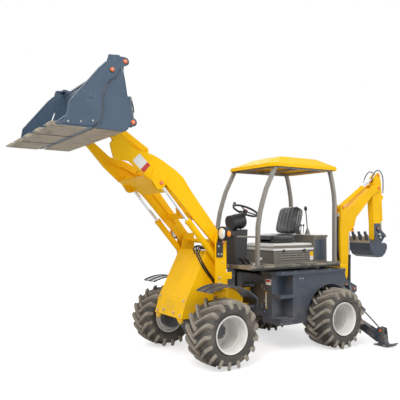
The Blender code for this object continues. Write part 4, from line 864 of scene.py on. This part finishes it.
# ---------------------------------------------------------------- canopy
def canopy_details():
    body = "rear_frame"
    low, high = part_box("canopy_roof")
    rim = Detail("canopy_rim", YELLOW, body, 0.003)
    x0, x1, y1 = low.x - AXLE_X + 0.004, high.x - AXLE_X - 0.004, high.y - 0.002
    corners = [(x1 - 0.002, 0.40), (x1 - 0.05, y1 - 0.002), (x0 + 0.05, y1 - 0.002), (x0 + 0.002, 0.40),
               (x0 + 0.002, -0.40), (x0 + 0.05, -y1 + 0.002), (x1 - 0.05, -y1 + 0.002), (x1 - 0.002, -0.40)]
    for (ax, ay), (bx, by) in zip(corners, corners[1:] + corners[:1]):
        a, b = place(ax, ay, 0), place(bx, by, 0)
        across = (b - a).cross(Vector((0, 0, 1))).normalized() * 0.006
        rings = [[p + across + Vector((0, 0, z)) for p, z in ((a, 2.325), (a, 2.366), (b, 2.366), (b, 2.325))],
                 [p - across + Vector((0, 0, z)) for p, z in ((a, 2.325), (a, 2.366), (b, 2.366), (b, 2.325))]]
        rim.loft(rings)
    rim.done()
    bolts = Detail("canopy_bolts", STEEL, body, 0.001)
    for _, side in SIDES:
        for x in (-0.702, -2.065):
            for dx, dy in ((0.035, 0.034), (-0.022, 0.034), (0.035, -0.034), (-0.022, -0.034)):
                bolts.bolt(place(x + dx, side * (0.435 + dy), 1.0705), (0, 0, 1), 0.007, 0.006)
    bolts.done()
    bar = Detail("front_side_bar", POST, body, 0.001)
    bar.rod(place(-0.705, 0.435, 1.43), place(-0.30, 0.56, 1.44), 0.011)
    bar.done()
    feet = Detail("canopy_feet", POST, body, 0.002)
    for _, side in SIDES:
        for x in (-0.702, -2.055):
            feet.box((x - 0.040, x + 0.05), sorted((side * 0.385, side * 0.485)), (1.0695, 1.078))
    feet.done()


canopy_details()


# ---------------------------------------------------------------- backhoe
def backhoe_details():
    caps = Detail("dipper_pin_caps", ORANGE_CAP, "dipper", 0.0015)
    bolts = Detail("dipper_bolts", STEEL, "dipper", 0.001)
    worn = Detail("dipper_foot_plates", SLATE, "dipper", 0.002)
    for _, side in SIDES:
        pin_cap(bolts, caps, place(-3.515, side * 0.051, 2.37), side, 0.018)
        pin_cap(bolts, caps, place(-3.47, side * 0.063, 1.52), side, 0.017)
        worn.plate([(-3.552, 1.60), (-3.392, 1.60), (-3.392, 1.36), (-3.43, 1.322), (-3.468, 1.34), (-3.545, 1.54)],
                   sorted((side * 0.0495, side * 0.0525)))
    for detail in (caps, bolts, worn):
        detail.done()
    caps = Detail("boom_pin_caps", ORANGE_CAP, "backhoe_boom", 0.0015)
    bolts = Detail("boom_bolts", STEEL, "backhoe_boom", 0.001)
    bosses = Detail("boom_bosses", YELLOW, "backhoe_boom", 0.002)
    for _, side in SIDES:
        for x, z, r in ((-3.49, 2.165, 0.024), (-2.66, 1.84, 0.019), (-2.86, 1.512, 0.019)):
            bosses.turned(place(x, side * 0.075, z), (0, side, 0), ((0.001, -0.003), (r * 1.7, -0.003), (r * 1.6, 0.006),
                                                                  (0.001, 0.006)), 28)
            pin_cap(bolts, caps, place(x, side * 0.082, z), side, r)
    for detail in (caps, bolts, bosses):
        detail.done()
    caps = Detail("swing_post_caps", ORANGE_CAP, "swing_post", 0.0015)
    bolts = Detail("swing_post_bolts", STEEL, "swing_post", 0.001)
    for _, side in SIDES:
        for x, z, r in ((-2.665, 0.68, 0.024), (-2.84, 0.62, 0.019)):
            pin_cap(bolts, caps, place(x, side * 0.1085, z), side, r)
    caps.done()
    bolts.done()
    teeth = Detail("backhoe_bucket_teeth", IRON, "backhoe_bucket", 0.002)
    for n in range(4):
        y = (n - 1.5) * 0.118
        teeth.plate([(-3.078, 1.36), (-3.050, 1.35), (-3.034, 1.42), (-3.062, 1.43)], (y - 0.027, y + 0.027))
    teeth.done()
    lip = Detail("backhoe_bucket_lip", WORN, "backhoe_bucket", 0.001)
    lip.plate([(-3.054, 1.402), (-3.046, 1.400), (-3.071, 1.300), (-3.081, 1.302)], (-0.211, 0.211))
    lip.done()
    cheeks = Detail("backhoe_bucket_strips", SLATE, "backhoe_bucket", 0.0015)
    for _, side in SIDES:
        cheeks.plate([(-3.055, 1.395), (-3.10, 1.355), (-3.25, 1.283), (-3.44, 1.298), (-3.44, 1.27), (-3.25, 1.255),
                      (-3.11, 1.325), (-3.07, 1.33)], sorted((side * 0.2095, side * 0.216)))
    cheeks.done()
    for n, y in enumerate((0.02, 0.045)):
        hose(f"boom_hose_{n}", [(-2.60, y, 1.00), (-2.575, y, 1.20), (-2.575, y, 1.50), (-2.575, y + 0.01, 1.74)], 0.009,
             "backhoe_boom")
    hose("dipper_hose_near", [(-3.30, 0.066, 2.265), (-3.36, 0.070, 2.36), (-3.45, 0.072, 2.44), (-3.55, 0.070, 2.425),
                              (-3.612, 0.062, 2.33), (-3.632, 0.050, 2.20), (-3.640, 0.035, 2.10)], 0.008, "dipper")
    hose("dipper_hose_far", [(-3.30, -0.066, 2.265), (-3.36, -0.070, 2.36), (-3.45, -0.072, 2.43), (-3.55, -0.070, 2.41),
                             (-3.600, -0.062, 2.30), (-3.62, -0.050, 2.18), (-3.630, -0.040, 1.92)], 0.008, "dipper")
    for n in range(3):
        hose(f"control_hose_{n}", [(-2.20, 0.06 + 0.05 * n, 0.935), (-2.20, 0.07 + 0.05 * n, 0.99),
                                   (-2.26, 0.09 + 0.05 * n, 1.0), (-2.33, 0.10 + 0.05 * n, 0.93)], 0.009, "rear_frame")


backhoe_details()


def stabilizer_details():
    for side_name, side in SIDES:
        body = f"{side_name}_stabilizer"
        caps = Detail(f"{side_name}_stabilizer_caps", ORANGE_CAP, body, 0.001)
        for x, sign in ((-2.309, 1), (-2.391, -1)):
            caps.turned(place(x, side * 0.985, 0.20), (sign, 0, 0), ((0.001, -0.004), (0.018, -0.004), (0.016, 0.005),
                                                                     (0.001, 0.005)), 20)
        caps.done()
        pads = Detail(f"{side_name}_stabilizer_pad_studs", STEEL, body, 0.001)
        for x in (-2.42, -2.28):
            for y in (0.94, 1.06):
                pads.bolt(place(x, side * y, 0.026), (0, 0, 1), 0.010, 0.008)
        pads.done()
        guard = Detail(f"{side_name}_stabilizer_ribs", SLATE, body, 0.002)
        guard.loft([[place(x, side * y, z) for y, z in ((0.44, 0.335), (0.90, 0.10), (0.905, 0.108), (0.445, 0.343))]
                    for x in (-2.394, -2.306)])
        guard.done()


stabilizer_details()


# ---------------------------------------------------------------- floor, light and camera
def stage():
    bm = bmesh.new()
    bmesh.ops.create_grid(bm, x_segments=1, y_segments=1, size=60)
    mesh = bpy.data.meshes.new("floor")
    bm.to_mesh(mesh)
    bm.free()
    floor = bpy.data.objects.new("floor", mesh)
    bpy.context.collection.objects.link(floor)
    look = bpy.data.materials.new("floor_white")
    look.use_nodes = True
    nodes, links = look.node_tree.nodes, look.node_tree.links
    nodes.clear()
    out = nodes.new("ShaderNodeOutputMaterial")
    diffuse = nodes.new("ShaderNodeBsdfDiffuse")
    diffuse.inputs["Color"].default_value = (0.62, 0.62, 0.62, 1)
    glow = nodes.new("ShaderNodeEmission")
    path = nodes.new("ShaderNodeLightPath")
    strength = nodes.new("ShaderNodeMath")
    strength.operation = "MULTIPLY"
    strength.inputs[1].default_value = 0.62
    both = nodes.new("ShaderNodeAddShader")
    links.new(path.outputs["Is Camera Ray"], strength.inputs[0])
    links.new(strength.outputs[0], glow.inputs["Strength"])
    links.new(diffuse.outputs[0], both.inputs[0])
    links.new(glow.outputs[0], both.inputs[1])
    links.new(both.outputs[0], out.inputs["Surface"])
    mesh.materials.append(look)

    world = bpy.data.worlds.new("studio")
    bpy.context.scene.world = world
    world.use_nodes = True
    nodes, links = world.node_tree.nodes, world.node_tree.links
    background = nodes["Background"]
    background.inputs["Color"].default_value = (1, 1, 1, 1)
    path = nodes.new("ShaderNodeLightPath")
    seen = nodes.new("ShaderNodeMath")
    seen.operation = "MAXIMUM"
    links.new(path.outputs["Is Camera Ray"], seen.inputs[0])
    links.new(path.outputs["Is Glossy Ray"], seen.inputs[1])
    level = nodes.new("ShaderNodeMapRange")
    level.inputs["To Min"].default_value = 0.62
    level.inputs["To Max"].default_value = 1.0
    links.new(seen.outputs[0], level.inputs["Value"])
    links.new(level.outputs[0], background.inputs["Strength"])

    middle = Vector((0, 0, 1.0))
    lamps = (("key", (6.0, 5.0, 8.0), 5.0, 620), ("fill", (-6.0, 7.0, 4.0), 6.0, 170),
             ("back", (-3.0, -8.0, 6.0), 6.0, 200))
    for name, spot, size, power in lamps:
        light = bpy.data.lights.new(name, "AREA")
        light.size = size
        light.energy = power
        lamp = bpy.data.objects.new(name, light)
        lamp.location = spot
        lamp.rotation_mode = "QUATERNION"
        lamp.rotation_quaternion = (middle - Vector(spot)).to_track_quat("-Z", "Y")
        bpy.context.collection.objects.link(lamp)


stage()

EYE = (3.380, 5.426, 1.585)
TARGET = (-0.14, 0.0, 1.89)
camera_data = bpy.data.cameras.new("camera")
camera_data.lens = 46.5
camera = bpy.data.objects.new("camera", camera_data)
bpy.context.collection.objects.link(camera)
camera.location = place(*EYE)
camera.rotation_mode = "QUATERNION"
camera.rotation_quaternion = (place(*TARGET) - place(*EYE)).to_track_quat("-Z", "Y")
camera_data.clip_end = 200
bpy.context.scene.camera = camera
bpy.context.scene.view_settings.view_transform = "Standard"
